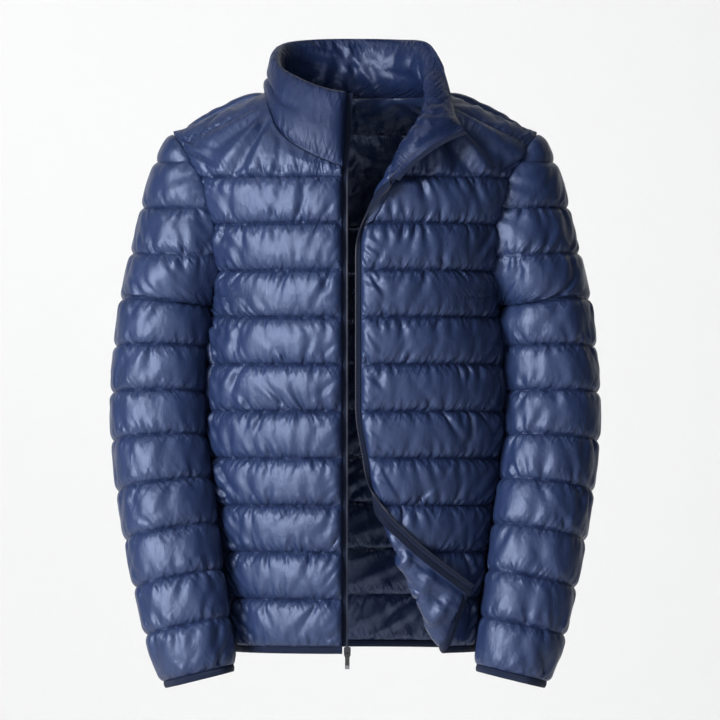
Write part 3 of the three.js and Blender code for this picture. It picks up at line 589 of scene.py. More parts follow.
def closed_wall(inner, outer):
    """Points and quads of a closed wall between two grids: both faces, and a rim round the border."""
    rows, count = inner.shape[:2]
    number = np.arange(rows * count).reshape(rows, count)
    high = number + rows * count

    def quads(a, b, c, d):
        return np.stack([a.ravel(), b.ravel(), c.ravel(), d.ravel()], -1)

    faces = [
        quads(number[:-1, :-1], number[:-1, 1:], number[1:, 1:], number[1:, :-1]),
        quads(high[:-1, :-1], high[1:, :-1], high[1:, 1:], high[:-1, 1:]),
        quads(number[:-1, 0], number[1:, 0], high[1:, 0], high[:-1, 0]),
        quads(number[:-1, -1], high[:-1, -1], high[1:, -1], number[1:, -1]),
        quads(number[0, :-1], high[0, :-1], high[0, 1:], number[0, 1:]),
        quads(number[-1, :-1], number[-1, 1:], high[-1, 1:], high[-1, :-1]),
    ]
    faces = np.concatenate(faces)
    points = np.concatenate([inner.reshape(-1, 3), outer.reshape(-1, 3)])
    corner = points[faces]
    volume = np.sum(corner[:, 0] * np.cross(corner[:, 1], corner[:, 2]))
    volume += np.sum(corner[:, 0] * np.cross(corner[:, 2], corner[:, 3]))
    if volume < 0:
        faces = faces[:, ::-1]
    return points, faces


def run_lengths(points, axis):
    """How far along the cloth each point of a grid is, in metres."""
    steps = np.linalg.norm(np.diff(points, axis=axis), axis=-1)
    lead = [(0, 0), (0, 0)]
    lead[axis] = (1, 0)
    return np.pad(np.cumsum(steps, axis), lead) * MM


def padded_panel(name, panel, material):
    """One quilted panel in the place of the solid of the same name: a closed wall with the cloth's own
    run across and down as a UV map, and a mark that tells the lining from the shell."""
    points, faces = closed_wall(panel["inner"], panel["outer"])
    across = panel["across"]
    down = np.broadcast_to(panel["run"], across.shape)
    uv = np.tile(np.stack([across, down], -1).reshape(-1, 2), (2, 1))
    marks = {
        "lining": np.repeat([1.0, 0.0], across.size),
        "quilted": np.tile(panel["quilted"].ravel(), 2),
    }
    piece = mesh_piece(name + "_cloth", points, faces, "jacket", material, uv, marks)
    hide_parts(name)
    return piece


def distance_arch(distance, reach):
    """Rises like a quarter circle from 0 on a seam to 1 at a reach from it."""
    t = np.clip(distance / reach, 0, 1)
    return np.sqrt(t * (2 - t))


def body_levels(first_line, rows):
    """The body's rows: from the neck to its first stitched line, then so many a channel to the hem."""
    above = np.linspace(NECK_SIDE_Z, first_line, round((NECK_SIDE_Z - first_line) / 2.6) + 1)
    channels = round((first_line - HEM_Z) / BODY_PITCH)
    below = np.linspace(first_line, HEM_Z, channels * rows + 1)
    return np.concatenate([above, below[1:]])


def seam_normals(points, column, levels, sign):
    """The way the wall thickens on a body panel's outer border: shoulder, armhole, then side seam."""
    direction = armhole_direction(points[:, column] * [sign, 1, 1])
    ridge = unit(np.array([SHOULDER_SLOPE, 0, 1]))
    side = normal_of(torso, outer_angle(levels), levels)
    direction[levels > TIP_Z] = ridge
    direction[levels < UNDERARM_Z] = side[levels < UNDERARM_Z]
    return direction * [sign, 1, 1]


def body_loft(angle):
    """The filling stands less high at the sides, where the arm presses on it."""
    return PRESSED_LOFT + (LOFT - PRESSED_LOFT) * np.abs(np.cos(angle)) ** 0.8


def shallower(height, angle):
    """Fills the stitched lines up by half at the sides, under the arms."""
    side = 1 - smoothstep(np.abs(np.cos(angle)) / 0.5)
    return height + (1 - height) * 0.6 * side


def armpit(angle, z):
    """The filling that the arm squeezes out under the armhole, at the sides."""
    side = 1 - smoothstep(np.abs(np.cos(angle)) / 0.5)
    return 4.5 * side * np.exp(-(((z + 289) / 15) ** 2))


def fan_folds(points, seed):
    """Long soft folds that spread from the neck seam over the chest: each is a valley, and a ridge
    beside it, along a ray of its own from one place, and it widens as it runs out."""
    random = np.random.default_rng(seed)
    dx, dz = points[..., 0] - FAN_FROM[0], FAN_FROM[1] - points[..., 2]
    way = np.arctan2(dx, dz)
    far = np.hypot(dx, dz)
    total = np.zeros_like(way)
    for ray in FAN_RAYS:
        ray = math.radians(ray + random.uniform(-4, 4))
        bend = random.uniform(-0.12, 0.12) * far / 100
        across = (way - ray - bend) * far / (random.uniform(2.4, 3.8) + 0.052 * far)
        long = smoothstep((far - 12) / 30) * np.exp(-((far / random.uniform(85, 170)) ** 4))
        size = random.uniform(2.8, 6.2) * long
        total += size * (0.55 * np.exp(-((across - 1.9) ** 2)) - np.exp(-(across**2)))
    return total


def front_panel(side, seed):
    """One front, worked out on the wearer's left and mirrored for the right: base, normals, shells."""
    levels = body_levels(BODY_STITCH_TOP, ROWS_A_CHANNEL)
    edge = LEFT_EDGE_X if side > 0 else RIGHT_EDGE_X
    inner_x = np.where(levels < NECK_FRONT_Z, edge, np.maximum(edge, neck_x(levels)) + HALF_GAP)
    border = outer_angle(levels) - np.where(levels < UNDERARM_Z, GAP_ANGLE, 0)
    share = np.linspace(0, 1, 700)
    start = angle_of_x(inner_x, levels)
    angle = start[:, None] + (border - start)[:, None] * share
    z = np.broadcast_to(levels[:, None], angle.shape)
    flat = torso(angle, z)
    placed = left_surface(angle, z) if side > 0 else flat
    count = 142 if side > 0 else 124
    base, (angle, flat_x, z) = spread_evenly(placed, [angle, flat[..., 0], z], count)
    flatness = unfolded(flat_x, z) if side > 0 else np.ones_like(z)
    normals = grid_normals(base)
    own = normals[:, 0].copy()
    at_neck = levels >= NECK_FRONT_Z
    turned = neck_direction(base[:, 0], own)
    blend = np.where(at_neck, flatness[:, 0], 0)[:, None]
    normals = ease_border(normals, unit(own * (1 - blend) + turned * blend), 0, 5)
    normals = ease_border(normals, seam_normals(base, -1, levels, 1), -1, 5)
    base[levels > TIP_Z, -1, 1] -= HALF_GAP
    base[(levels <= TIP_Z) & (levels >= UNDERARM_Z), -1, 0] -= HALF_GAP

    to_edge = run_lengths(base, 1) / MM
    to_seam = to_edge[:, -1:] - to_edge
    neck_fade = smoothstep(to_edge / 34) ** 0.8
    fade = np.where(at_neck[:, None], neck_fade, distance_arch(to_edge, SEAM_FADE))
    fade = fade * distance_arch(to_seam, SEAM_FADE) * distance_arch(NECK_SIDE_Z - z, 20)
    press = 0.25 + 0.75 * flatness
    loft = body_loft(angle) * shallower(front_channel(flat_x, z), angle) * fade * press
    below = ridge_z(flat_x) - z
    level = (BODY_STITCH_TOP - z) / BODY_PITCH
    to_line = np.abs(level - np.round(level)) * BODY_PITCH
    to_line = np.where(z > BODY_STITCH_TOP, z - BODY_STITCH_TOP, to_line)
    free = smoothstep(to_line / 2.4) * smoothstep(np.abs(below - YOKE_DROP) / 3.5)
    above = z - BODY_STITCH_TOP
    yoke_up = -1 - np.clip((YOKE_DROP - below) / YOKE_DROP, 0, 1)
    upper = -above / np.maximum(below - YOKE_DROP + above, 1)
    count_down = np.where(z <= BODY_STITCH_TOP, level, np.where(below < YOKE_DROP, yoke_up, upper))
    chest = smoothstep((z - BODY_STITCH_TOP) / 8) * smoothstep((below - 4) / 14)
    loft = loft + fan_folds(base, seed + 3) * chest * fade * press
    down = count_down * BODY_PITCH
    along = run_lengths(base, 0) / MM
    below_neck = smoothstep((NECK_FRONT_Z - 4 - z) / 10)
    off_line = smoothstep(to_line / 7) * press
    at_edge = gathers(along, to_edge, ONE_LINE, seed + 21, (7, 15), (1.0, 3.4), (8, 30), 0.45) * below_neck
    loft = loft + at_edge * off_line * fade * np.clip(loft / 3, 0, 1)
    at_seam = gathers(along, to_seam, ONE_LINE, seed + 25, (8, 17), (2.2, 5.6), (14, 48), 0.35)
    loft = np.maximum(loft + at_seam * off_line * smoothstep((to_seam - 2) / 6), DEEPEST)
    loft = loft + armpit(angle, z)
    plain = 1 - smoothstep((z - BODY_STITCH_TOP) / 12)
    folds, slack, pinch = 0.2 + 0.4 * plain, 0.1 + 0.9 * plain, 0.45 + 0.55 * plain
    across = to_edge + flat_x[:, :1]
    return shells(base, normals, loft, free, press, down, BODY_PITCH, seed, folds, slack, pinch, across)


def back_panel(seed):
    """The back, from the wearer's left side seam round to the right one."""
    first_line = BODY_STITCH_TOP + BODY_PITCH
    levels = body_levels(first_line, BACK_ROWS_A_CHANNEL)
    low = outer_angle(levels)
    border = np.where(levels < UNDERARM_Z, low + GAP_ANGLE, math.pi - low)
    share = np.linspace(0, 1, 1400)
    angle = border[:, None] + (2 * math.pi - 2 * border)[:, None] * share
    z = np.broadcast_to(levels[:, None], angle.shape)
    base, (angle, z) = spread_evenly(torso(angle, z), [angle, z], 169)
    normals = grid_normals(base)
    normals = ease_border(normals, seam_normals(base, 0, levels, 1), 0, 5)
    normals = ease_border(normals, seam_normals(base, -1, levels, -1), -1, 5)
    normals[0] = neck_direction(base[0], normals[0])
    base[levels > TIP_Z, 0, 1] += HALF_GAP
    base[levels > TIP_Z, -1, 1] += HALF_GAP
    on_arm = (levels <= TIP_Z) & (levels >= UNDERARM_Z)
    base[on_arm, 0, 0] -= HALF_GAP
    base[on_arm, -1, 0] += HALF_GAP

    run = run_lengths(base, 1) / MM
    to_seam = np.minimum(run, run[:, -1:] - run)
    fade = distance_arch(to_seam, SEAM_FADE) * distance_arch(NECK_SIDE_Z - z, 20)
    loft = body_loft(angle) * shallower(channel(z, first_line, BODY_PITCH, 45), angle) * fade
    level = (first_line - z) / BODY_PITCH
    to_line = np.abs(level - np.round(level)) * BODY_PITCH
    to_line = np.where(z > first_line, z - first_line, to_line)
    free = smoothstep(to_line / 3)
    loft = loft + armpit(angle, z)
    press = np.ones_like(z)
    across = run + (run[:, -1:].max() - run[:, -1:]) / 2
    return shells(base, normals, loft, free, press, level * BODY_PITCH, BODY_PITCH, seed, across=across)


def sleeve_ring(z):
    """The sleeve's ring at a level: its middle, half sizes and how far round it reaches."""
    x = armhole_x(np.maximum(z, UNDERARM_Z))
    high = np.maximum(z, UNDERARM_Z)
    front = np.abs(torso(angle_of_x(x, high), high)[..., 1])
    back = torso(math.pi - angle_of_x(x, high), high)[..., 1]
    half = (front + back) / 2
    depth = np.maximum(head_ring["depth"](high), half * 1.02)
    reach = math.pi - np.arcsin(np.clip(half / depth, 0, 1)) - 0.0005
    half_width = (head_ring["outer"](high) - x) / (1 - np.cos(reach))
    below = z < UNDERARM_Z
    tube = {name: of(z) for name, of in tube_ring.items()}
    return {
        "x": np.where(below, tube["x"], head_ring["outer"](high) - half_width),
        "y": np.where(below, tube["y"], (back - front) / 2),
        "half_width": np.where(below, tube["half_width"], half_width),
        "depth": np.where(below, tube["depth"], depth),
        "reach": np.where(below, math.pi - 0.3 / tube["depth"], reach),
        "outward": np.where(below, tube["outward"], 0),
        "forward": np.where(below, tube["forward"], 0),
    }


def sleeve_surface(turn, z):
    """The sleeve's inner surface: a ring at each level, open at the armhole, closed and slanted below
    it. The turn runs from -1 on the front border, over the outside, to 1 on the back border."""
    ring = sleeve_ring(z)
    pinch = smoothstep((z + 300) / 34) * smoothstep((-190 - z) / 50)
    pinch = SLEEVE_PINCH * pinch * (1 - np.abs(turn)) * np.abs(turn) ** 3
    out = ring["half_width"] * (np.cos(turn * ring["reach"]) + 2 * pinch)
    back = ring["depth"] * np.sin(turn * ring["reach"])
    slant = out * np.sin(ring["outward"]) + back * np.sin(ring["forward"])
    return np.stack([ring["x"] + out, ring["y"] + back, z - slant], -1)


def sleeve_panel(seed):
    """The wearer's left sleeve: one panel, seamed to the armhole above and to itself below it."""
    head = np.linspace(TIP_Z, SLEEVE_STITCH_TOP, 14)
    below = np.linspace(SLEEVE_STITCH_TOP, CUFF_Z, 11 * ROWS_A_CHANNEL + 1)
    levels = np.concatenate([head, below[1:]])
    turn = np.broadcast_to(np.linspace(-1, 1, 900), (len(levels), 900))
    z = np.broadcast_to(levels[:, None], turn.shape)
    base, (turn, z) = spread_evenly(sleeve_surface(turn, z), [turn, z], 140)
    normals = grid_normals(base)
    on_arm = levels >= UNDERARM_Z
    for at in (0, -1):
        seam = normal_of(sleeve_surface, turn[:, at], np.minimum(levels, TIP_Z - 2), 0.01, 0.4)
        seam[on_arm] = armhole_direction(base[on_arm, at])
        normals = ease_border(normals, seam, at, 5)
        base[on_arm, at, 0] += 2 * HALF_GAP
    tip = armhole_direction(base[0])
    for row in range(5):
        share = 1 - row / 5
        normals[row] = unit(normals[row] * (1 - share) + tip * share)

    run = run_lengths(base, 1) / MM
    to_seam = np.minimum(run, run[:, -1:] - run)
    fade = distance_arch(to_seam, SEAM_FADE) * distance_arch(TIP_Z - z, 20)
    facing = 0.14 + 0.86 * np.sin(turn * math.pi) ** 2
    inside = smoothstep((np.abs(turn) - 0.6) / 0.3)
    arches = channel(z, SLEEVE_STITCH_TOP, SLEEVE_PITCH, 26)
    loft = SLEEVE_LOFT * facing * (arches + (1 - arches) * 0.6 * inside) * fade
    loft = loft * (0.15 + 0.85 * smoothstep((TIP_Z - 8 - z) / 80))
    loft = loft + 5 * np.exp(-(((z + 297) / 20) ** 2)) * np.abs(turn) ** 4 * fade
    on_cap = smoothstep((z - UNDERARM_Z) / 20) * smoothstep((to_seam - 2) / 6)
    cap_gathers = gathers(-z, to_seam, ONE_LINE, seed + 25, (8, 17), (1.4, 4.0), (12, 40), 0.3)
    loft = np.maximum(loft + cap_gathers * on_cap, DEEPEST)
    level = (SLEEVE_STITCH_TOP - z) / SLEEVE_PITCH
    to_line = np.abs(level - np.round(level)) * SLEEVE_PITCH
    to_line = np.where(z > SLEEVE_STITCH_TOP, z - SLEEVE_STITCH_TOP, to_line)
    free = smoothstep(to_line / 3)
    wander = 0.12 * np.sin(z / 37.0 + seed) + 0.06 * np.sin(z / 13.0)
    long = smoothstep((UNDERARM_Z + 110 - z) / 140) * smoothstep((z - CUFF_Z) / 60)
    outer = smoothstep((TIP_Z - 12 - z) / 60) * smoothstep((z - CUFF_Z) / 40)
    facets = np.abs(np.sin(2 * math.pi * turn + wander)) ** 1.5
    normal_rise = 5.0 * facets * long + 4.8 * np.exp(-((turn / 0.3) ** 2)) * outer
    base = base + normals * (normal_rise * fade)[..., None]
    press = np.ones_like(z)
    return shells(base, normals, loft, free, press, level * SLEEVE_PITCH, SLEEVE_PITCH, seed, 1.3)


def shells(base, normals, loft, free, press, down, pitch, seed, folds=1.2, slack=1.0, pinch=1.0, across=None):
    """Both cloths of a panel: the shell over the filling, and the lining with a flatter quilting.
    The folds, the slack and the pinch scale the random creases, the cloth to spare and the gathers.
    The gathers are told apart by how far across the panel they are: from its first border, or as given."""
    free = free.copy()
    free[:, [0, -1]] = 0
    free[[0, -1]] = 0
    down = np.broadcast_to(down, loft.shape)
    run = run_lengths(base, 1) / MM
    across = run if across is None else across
    cell = np.gradient(run, axis=1)
    open_cell = smoothstep((cell / np.median(cell) - 0.3) / 0.55)
    border = distance_arch(np.minimum(run, run[:, -1:] - run), 9)
    soft = border * press * np.clip(loft / 1.6, 0, 1)
    raised = WALL + border * LIFT * press + loft
    raised = raised + soft * folds * crumple(base, 7, 24, 80, seed + 5)
    if pitch:
        raised = raised + pinch * soft * open_cell * gathers(across, down, pitch, seed + 9)
    sway = waves(base, 10, 90, 260, seed)
    gather = 0.035 * slack * (1 + 0.5 * sway) * press * open_cell
    rounds = 160
    held = free * press * np.minimum(1, slack + 0.1)
    cover = settle(base, normals, held, raised, gather, rounds, seed)
    loose = 1 - (1 - free) * press**2
    loose[:, [0, -1]] = 0
    loose[[0, -1]] = 0
    turned = np.clip((1 - press) / 0.75, 0, 1)
    crumpled = crumple(base, 6, 13, 44, seed + 13)
    sag = 2.8 * np.clip(loft / LOFT, 0, 1) ** 1.4 * (1 - turned) + turned * (3.0 + 12.0 * crumpled)
    sag = np.minimum(sag + free * press * 5.0 * crumpled, 9)
    if pitch:
        sag = sag + pinch * free * press * 0.6 * gathers(across, down, pitch, seed + 15)
    clear = smoothstep((np.minimum(run, run[:, -1:] - run) - TAPE_WIDTH) / 12)
    sag = np.maximum(sag, 0) * loose * clear
    lining = settle(base, -normals, loose * clear, sag, 0.03 * open_cell, rounds // 3, seed + 50)
    panel = {"inner": lining, "outer": cover, "run": down * MM, "base": base, "normals": normals}
    panel["across"] = np.broadcast_to(across, run.shape) * MM
    panel["quilted"] = press * open_cell
    return panel


def mirror(panel):
    """The same panel on the wearer's right."""
    other = dict(panel)
    for name in ("inner", "outer", "base", "normals"):
        other[name] = panel[name] * [-1, 1, 1]
    return other


def nodes_of(material):
    """A material's node tree and its main shader."""
    material.use_nodes = True
    tree = material.node_tree
    return tree, tree.nodes["Principled BSDF"]


class Shade:
    """Short words for building a node tree."""

    def __init__(self, name, roughness, metallic=0.0):
        self.material = bpy.data.materials.new(name)
        self.tree, self.skin = nodes_of(self.material)
        self.set(self.skin, Roughness=roughness, Metallic=metallic)

    def set(self, node, **values):
        for key, value in values.items():
            node.inputs[key.replace("_", " ")].default_value = value
        return node

    def add(self, kind, links=None, **settings):
        node = self.tree.nodes.new(kind)
        for key, value in settings.items():
            setattr(node, key, value)
        for socket, source in (links or {}).items():
            self.put(node.inputs[socket], source)
        return node

    def put(self, socket, source):
        if isinstance(source, bpy.types.NodeSocket):
            self.tree.links.new(source, socket)
        else:
            socket.default_value = source

    def maths(self, operation, *terms, clamp=False):
        node = self.add("ShaderNodeMath", operation=operation, use_clamp=clamp)
        for socket, term in zip(node.inputs, terms):
            self.put(socket, term)
        return node.outputs[0]

    def scaled(self, vector, by):
        node = self.add("ShaderNodeVectorMath", operation="MULTIPLY")
        self.put(node.inputs[0], vector)
        node.inputs[1].default_value = by
        return node.outputs[0]

    def noise(self, vector, scale, detail=2.0, roughness=0.5):
        node = self.add("ShaderNodeTexNoise", {"Vector": vector, "Scale": scale})
        return self.set(node, Detail=detail, Roughness=roughness).outputs["Fac"]

    def leaning(self, across, down, lean, squeeze):
        """Cloth coordinates for creases that lean off the thread line and run long down the cloth."""
        slid = self.maths("ADD", across, self.maths("MULTIPLY", down, lean))
        node = self.add("ShaderNodeCombineXYZ", {0: slid, 1: self.maths("MULTIPLY", down, squeeze)})
        return node.outputs[0]

    def ridges(self, vector, scale, detail=1.0):
        """Noise folded into narrow ridges, like the creases of thin cloth."""
        n = self.noise(vector, scale, detail)
        return self.maths("SUBTRACT", 1.0, self.maths("ABSOLUTE", self.maths("MULTIPLY_ADD", n, 4.0, -2.0)))

    def bump(self, height, distance, under=None):
        node = self.add("ShaderNodeBump", {"Height": height, "Distance": distance})
        if under is not None:
            self.tree.links.new(under, node.inputs["Normal"])
        return node.outputs[0]

    def mix(self, share, one, other):
        node = self.add("ShaderNodeMix", {"Factor": share}, data_type="RGBA")
        self.put(node.inputs[6], one)
        self.put(node.inputs[7], other)
        return node.outputs[2]

    def colour(self, value):
        self.put(self.skin.inputs["Base Color"], value)

    def rough(self, value):
        self.put(self.skin.inputs["Roughness"], value)

    def normal(self, value):
        self.tree.links.new(value, self.skin.inputs["Normal"])


def nylon(name, pitch, deep, bright, shine=0.62, rough=0.33, sheer=0.11):
    """Glossy downproof nylon. Beside the stitched lines it crinkles in short creases across them; all
    over it has a fine plain weave, and its colour and gloss change a little from place to place. The
    shine is its specular level, and the lining is smoother than the shell by the sheer."""
    shade = Shade(name, 0.36)
    shade.set(shade.skin, Specular_IOR_Level=shine)
    shade.skin.inputs["Specular Tint"].default_value = (*NYLON_GLOSS, 1)
    place = shade.add("ShaderNodeTexCoord").outputs["Object"]
    cloth = shade.add("ShaderNodeUVMap", uv_map="cloth").outputs[0]
    split = shade.add("ShaderNodeSeparateXYZ", {0: cloth})
    across, down = split.outputs[0], split.outputs[1]
    lining = shade.add("ShaderNodeAttribute", attribute_name="lining").outputs["Fac"]

    phase = shade.maths("FRACT", shade.maths("MULTIPLY_ADD", down, 1 / pitch, 0.5))
    distance = shade.maths("MULTIPLY", shade.maths("ABSOLUTE", shade.maths("SUBTRACT", phase, 0.5)), pitch)
    near = shade.maths("SUBTRACT", 1.0, shade.maths("MULTIPLY", distance, 1 / PUCKER_REACH), clamp=True)
    off = shade.maths("MULTIPLY", distance, 1 / PUCKER_START, clamp=True)
    beside = shade.maths("MULTIPLY", near, off)
    seam = shade.maths("SUBTRACT", 1.0, shade.maths("MULTIPLY", distance, 1 / SEAM_LINE), clamp=True)
    seam = shade.maths("MULTIPLY", seam, shade.maths("MULTIPLY_ADD", lining, -0.8, 1.0))
    quilted = shade.add("ShaderNodeAttribute", attribute_name="quilted").outputs["Fac"]
    flat = shade.maths("MULTIPLY_ADD", quilted, 1 / 0.75, -1 / 3, clamp=True)
    beside = shade.maths("MULTIPLY", beside, flat)
    seam = shade.maths("MULTIPLY", seam, flat)
    dash = shade.maths("FRACT", shade.maths("MULTIPLY", across, 1 / STITCH))
    thread = shade.maths("MULTIPLY", seam, shade.maths("GREATER_THAN", dash, 0.28))

    blotch = shade.noise(place, 14.0, 3.0)
    tone = shade.mix(blotch, (*deep, 1), (*bright, 1))
    # Painted shade: the lining is darkened a little
    tone = shade.mix(shade.maths("MULTIPLY", lining, 0.15), tone, (*LINING_PAINTED_SHADE, 1))
    # Painted shade: each stitched line is darkened
    tone = shade.mix(shade.maths("MULTIPLY", seam, 0.45), tone, (*SEAM_PAINTED_SHADE, 1))
    tone = shade.mix(shade.maths("MULTIPLY", thread, 0.5), tone, (*THREAD, 1))
    shade.colour(tone)
    gloss = shade.noise(place, 60.0, 2.0)
    smooth = shade.maths("MULTIPLY_ADD", lining, -sheer, rough)
    shade.rough(shade.maths("MULTIPLY_ADD", gloss, 0.12, smooth))

    left_lean = shade.ridges(shade.leaning(across, down, 0.45, 0.22), 70.0, 2.0)
    right_lean = shade.ridges(shade.leaning(across, down, -0.4, 0.22), 56.0, 2.0)
    both = shade.maths("SUBTRACT", shade.maths("ADD", left_lean, right_lean), 1.4)
    puckers = shade.maths("MULTIPLY", both, beside)
    crinkle = shade.ridges(shade.scaled(place, (1.0, 1.0, 0.55)), 38.0, 3.0)
    fine = shade.noise(place, 240.0, 2.0)
    weave_across = shade.maths("SINE", shade.maths("MULTIPLY", across, 2 * math.pi / WEAVE))
    weave_down = shade.maths("SINE", shade.maths("MULTIPLY", down, 2 * math.pi / WEAVE))
    weave = shade.maths("MULTIPLY", weave_across, weave_down)
    bumps = shade.bump(puckers, 0.0022)
    bumps = shade.bump(crinkle, 0.0006, bumps)
    bumps = shade.bump(fine, 0.00016, bumps)
    bumps = shade.bump(weave, 0.00003, bumps)
    bumps = shade.bump(thread, 0.0004, bumps)
    shade.normal(bumps)
    return shade.material


def plain_cloth(name, tone, roughness, rib):
    """Woven trim: a flat tone with ribs a given way apart, from the strip's own UV map."""
    shade = Shade(name, roughness)
    cloth = shade.add("ShaderNodeUVMap", uv_map="cloth").outputs[0]
    split = shade.add("ShaderNodeSeparateXYZ", {0: cloth})
    ribs = shade.maths("SINE", shade.maths("MULTIPLY", split.outputs[0], 2 * math.pi / rib))
    cords = shade.maths("SINE", shade.maths("MULTIPLY", split.outputs[1], 2 * math.pi / (rib * 2.2)))
    place = shade.add("ShaderNodeTexCoord").outputs["Object"]
    fleck = shade.noise(place, 420.0, 2.0)
    dark = tuple(0.6 * c for c in tone)
    shade.colour(shade.mix(fleck, (*dark, 1), (*tone, 1)))
    shade.set(shade.skin, Specular_IOR_Level=0.3)
    shade.skin.inputs["Specular Tint"].default_value = (*TRIM_GLOSS, 1)
    bumps = shade.bump(ribs, 0.00022)
    shade.normal(shade.bump(cords, 0.0001, bumps))
    return shade.material


def hard(name, tone, roughness, metallic):
    """Cast metal or moulded plastic with faint wear in its gloss."""
    shade = Shade(name, roughness, metallic)
    place = shade.add("ShaderNodeTexCoord").outputs["Object"]
    wear = shade.noise(place, 900.0, 3.0)
    shade.colour((*tone, 1))
    shade.set(shade.skin, Specular_IOR_Level=0.3)
    shade.rough(shade.maths("MULTIPLY_ADD", wear, 0.18, roughness - 0.09))
    return shade.material


def pull_tab(node):
    """Black plastic with a bright metal end: the lowest part of the tab, told by its own height."""
    height = np.empty(len(node.data.vertices) * 3)
    node.data.vertices.foreach_get("co", height)
    lowest = float(height[2::3].min())
    shade = Shade("pull tab", 0.4)
    place = shade.add("ShaderNodeTexCoord").outputs["Object"]
    split = shade.add("ShaderNodeSeparateXYZ", {0: place})
    metal = shade.maths("LESS_THAN", split.outputs[2], lowest + METAL_END * MM)
    shade.colour(shade.mix(metal, (0.01, 0.01, 0.012, 1), (0.6, 0.61, 0.63, 1)))
    shade.put(shade.skin.inputs["Metallic"], metal)
    shade.rough(shade.maths("MULTIPLY_ADD", metal, -0.18, 0.42))
    return shade.material


BODY_NYLON = nylon("navy nylon, body", BODY_PITCH * MM, NAVY_DEEP, NAVY_BRIGHT)
SLEEVE_NYLON = nylon("navy nylon, sleeves", SLEEVE_PITCH * MM, NAVY_DEEP, NAVY_BRIGHT)
# Painted shade: the collar gets darker copies of the navy
COLLAR_NYLON = nylon(
    "navy nylon, collar", COLLAR_HEIGHT * MM, COLLAR_SHADED_DEEP, COLLAR_SHADED_BRIGHT, shine=0.38, rough=0.37, sheer=0.16
)
TAPE = plain_cloth("zip tape", (0.007, 0.011, 0.030), 0.62, 0.0011)
TRIM = plain_cloth("elastic binding", (0.006, 0.010, 0.028), 0.55, 0.0013)
TEETH = hard("nylon coil", (0.010, 0.013, 0.028), 0.5, 0.0)
METAL = hard("darkened metal", (0.07, 0.072, 0.08), 0.33, 1.0)


def smoothed(rows, rounds):
    """Each row drawn towards its neighbours, over and over, with the ends held."""
    rows = rows.copy()
    for _ in range(rounds):
        rows[1:-1] = (rows[:-2] + 2 * rows[1:-1] + rows[2:]) / 4
    return rows


def collar_curve(points):
    """A smooth curve through the collar's upper edge: Catmull-Rom through its points, dense."""
    padded = np.concatenate([[2 * points[0] - points[1]], points, [2 * points[-1] - points[-2]]])
    t = np.linspace(0, 1, CURVE_STEPS)[:-1, None]
    parts = []
    for a, b, c, d in zip(padded, padded[1:], padded[2:], padded[3:]):
        line = (2 * a - 5 * b + 4 * c - d) * t * t + (3 * b - a - 3 * c + d) * t**3
        parts.append((2 * b + (c - a) * t + line) / 2)
    return np.concatenate([*parts, points[-1:]])


def evenly_along(dense, share):
    """Places at shares of a dense curve's own length."""
    run = np.concatenate([[0], np.cumsum(np.linalg.norm(np.diff(dense, axis=0), axis=1))])
    return np.stack([np.interp(share * run[-1], run, dense[:, k]) for k in range(3)], -1)


def resample(columns_of, count):
    """Points of a path, and anything that goes with them, at even steps of the path's length."""
    path = columns_of[0]
    run = np.concatenate([[0], np.cumsum(np.linalg.norm(np.diff(path, axis=0), axis=1))])
    at = np.linspace(0, run[-1], count)
    out = [np.stack([np.interp(at, run, c[:, k]) for k in range(3)], -1) for c in columns_of]
    return out, at


def collar_grid(left, right, back, seed):
    """The standing collar: one plain padded chamber between the neck seam and its own upper edge."""
    upper = body_levels(BODY_STITCH_TOP, ROWS_A_CHANNEL)
    rows = int(np.sum(upper >= NECK_FRONT_Z)) + 1
    points = [
        right["base"][:rows, 0][::-1],
        right["base"][:1, -1],
        back["base"][0, ::-1],
        left["base"][:1, -1],
        left["base"][:rows, 0],
    ]
    ways = [
        right["normals"][:rows, 0][::-1],
        right["normals"][:1, -1],
        back["normals"][0, ::-1],
        left["normals"][:1, -1],
        left["normals"][:rows, 0],
    ]
    (seam, way), run = resample([np.concatenate(points), np.concatenate(ways)], 210)
    way = unit(smoothed(way, 16))
    middle = run[-1] / 2
    edge = collar_curve(np.concatenate([COLLAR_TOP_CLOSED[::-1], COLLAR_TOP_OPEN[1:]]))
    centre = (CURVE_STEPS - 1) * (len(COLLAR_TOP_CLOSED) - 1)
    to_closed = evenly_along(edge[: centre + 1], np.clip(run / middle, 0, 1))
    to_open = evenly_along(edge[centre:], np.clip((run - middle) / middle, 0, 1))
    top = np.where((run < middle)[:, None], to_closed, to_open)
    up = top - seam
    along = np.gradient(top + seam, axis=0)
    away = unit(smoothed(unit(np.cross(up, along)), 60))
    lift = unit(np.cross(way, along))
    lift *= np.sign(np.sum(lift * up, -1, keepdims=True))
    v = np.linspace(0, 1, 26)[:, None, None]
    opened = smoothstep((run - middle - 20) / 90)[:, None]
    hollow = (COLLAR_HOLLOW + 7 * opened) * 4 * v * (1 - v)
    base = seam + up * v - away * hollow + lift * 0.6 * (1 - v)
    normals = unit(way * (1 - smoothstep(v * 3)) + away * smoothstep(v * 3))
    shape = base.shape[:2]
    ends = distance_arch(np.minimum(run, run[-1] - run), 16)
    arch = (4 * v[..., 0] * (1 - v[..., 0])) ** (0.5 + 0.5 * (1 - v[..., 0]))
    dent = 0.46 + 0.07 * np.sin(run / 47.0 + 1.0)
    crease = np.exp(-(((v[..., 0] - dent) / 0.07) ** 2)) * smoothstep(0.5 + waves(seam, 4, 120, 260, seed))
    closed = 1 - smoothstep((run - 60) / 90)
    loft = ((1.2 + 0.7 * closed - 0.3 * opened[:, 0]) * LOFT * arch - 3.8 * crease) * ends
    free = np.broadcast_to(smoothstep(np.minimum(v, 1 - v)[..., 0] * 9), shape).copy()
    down = v[..., 0] * COLLAR_HEIGHT
    panel = shells(base, normals, loft, free, np.ones(shape), down, COLLAR_HEIGHT, seed, 2.8, 0.6, 0.2)
    return panel


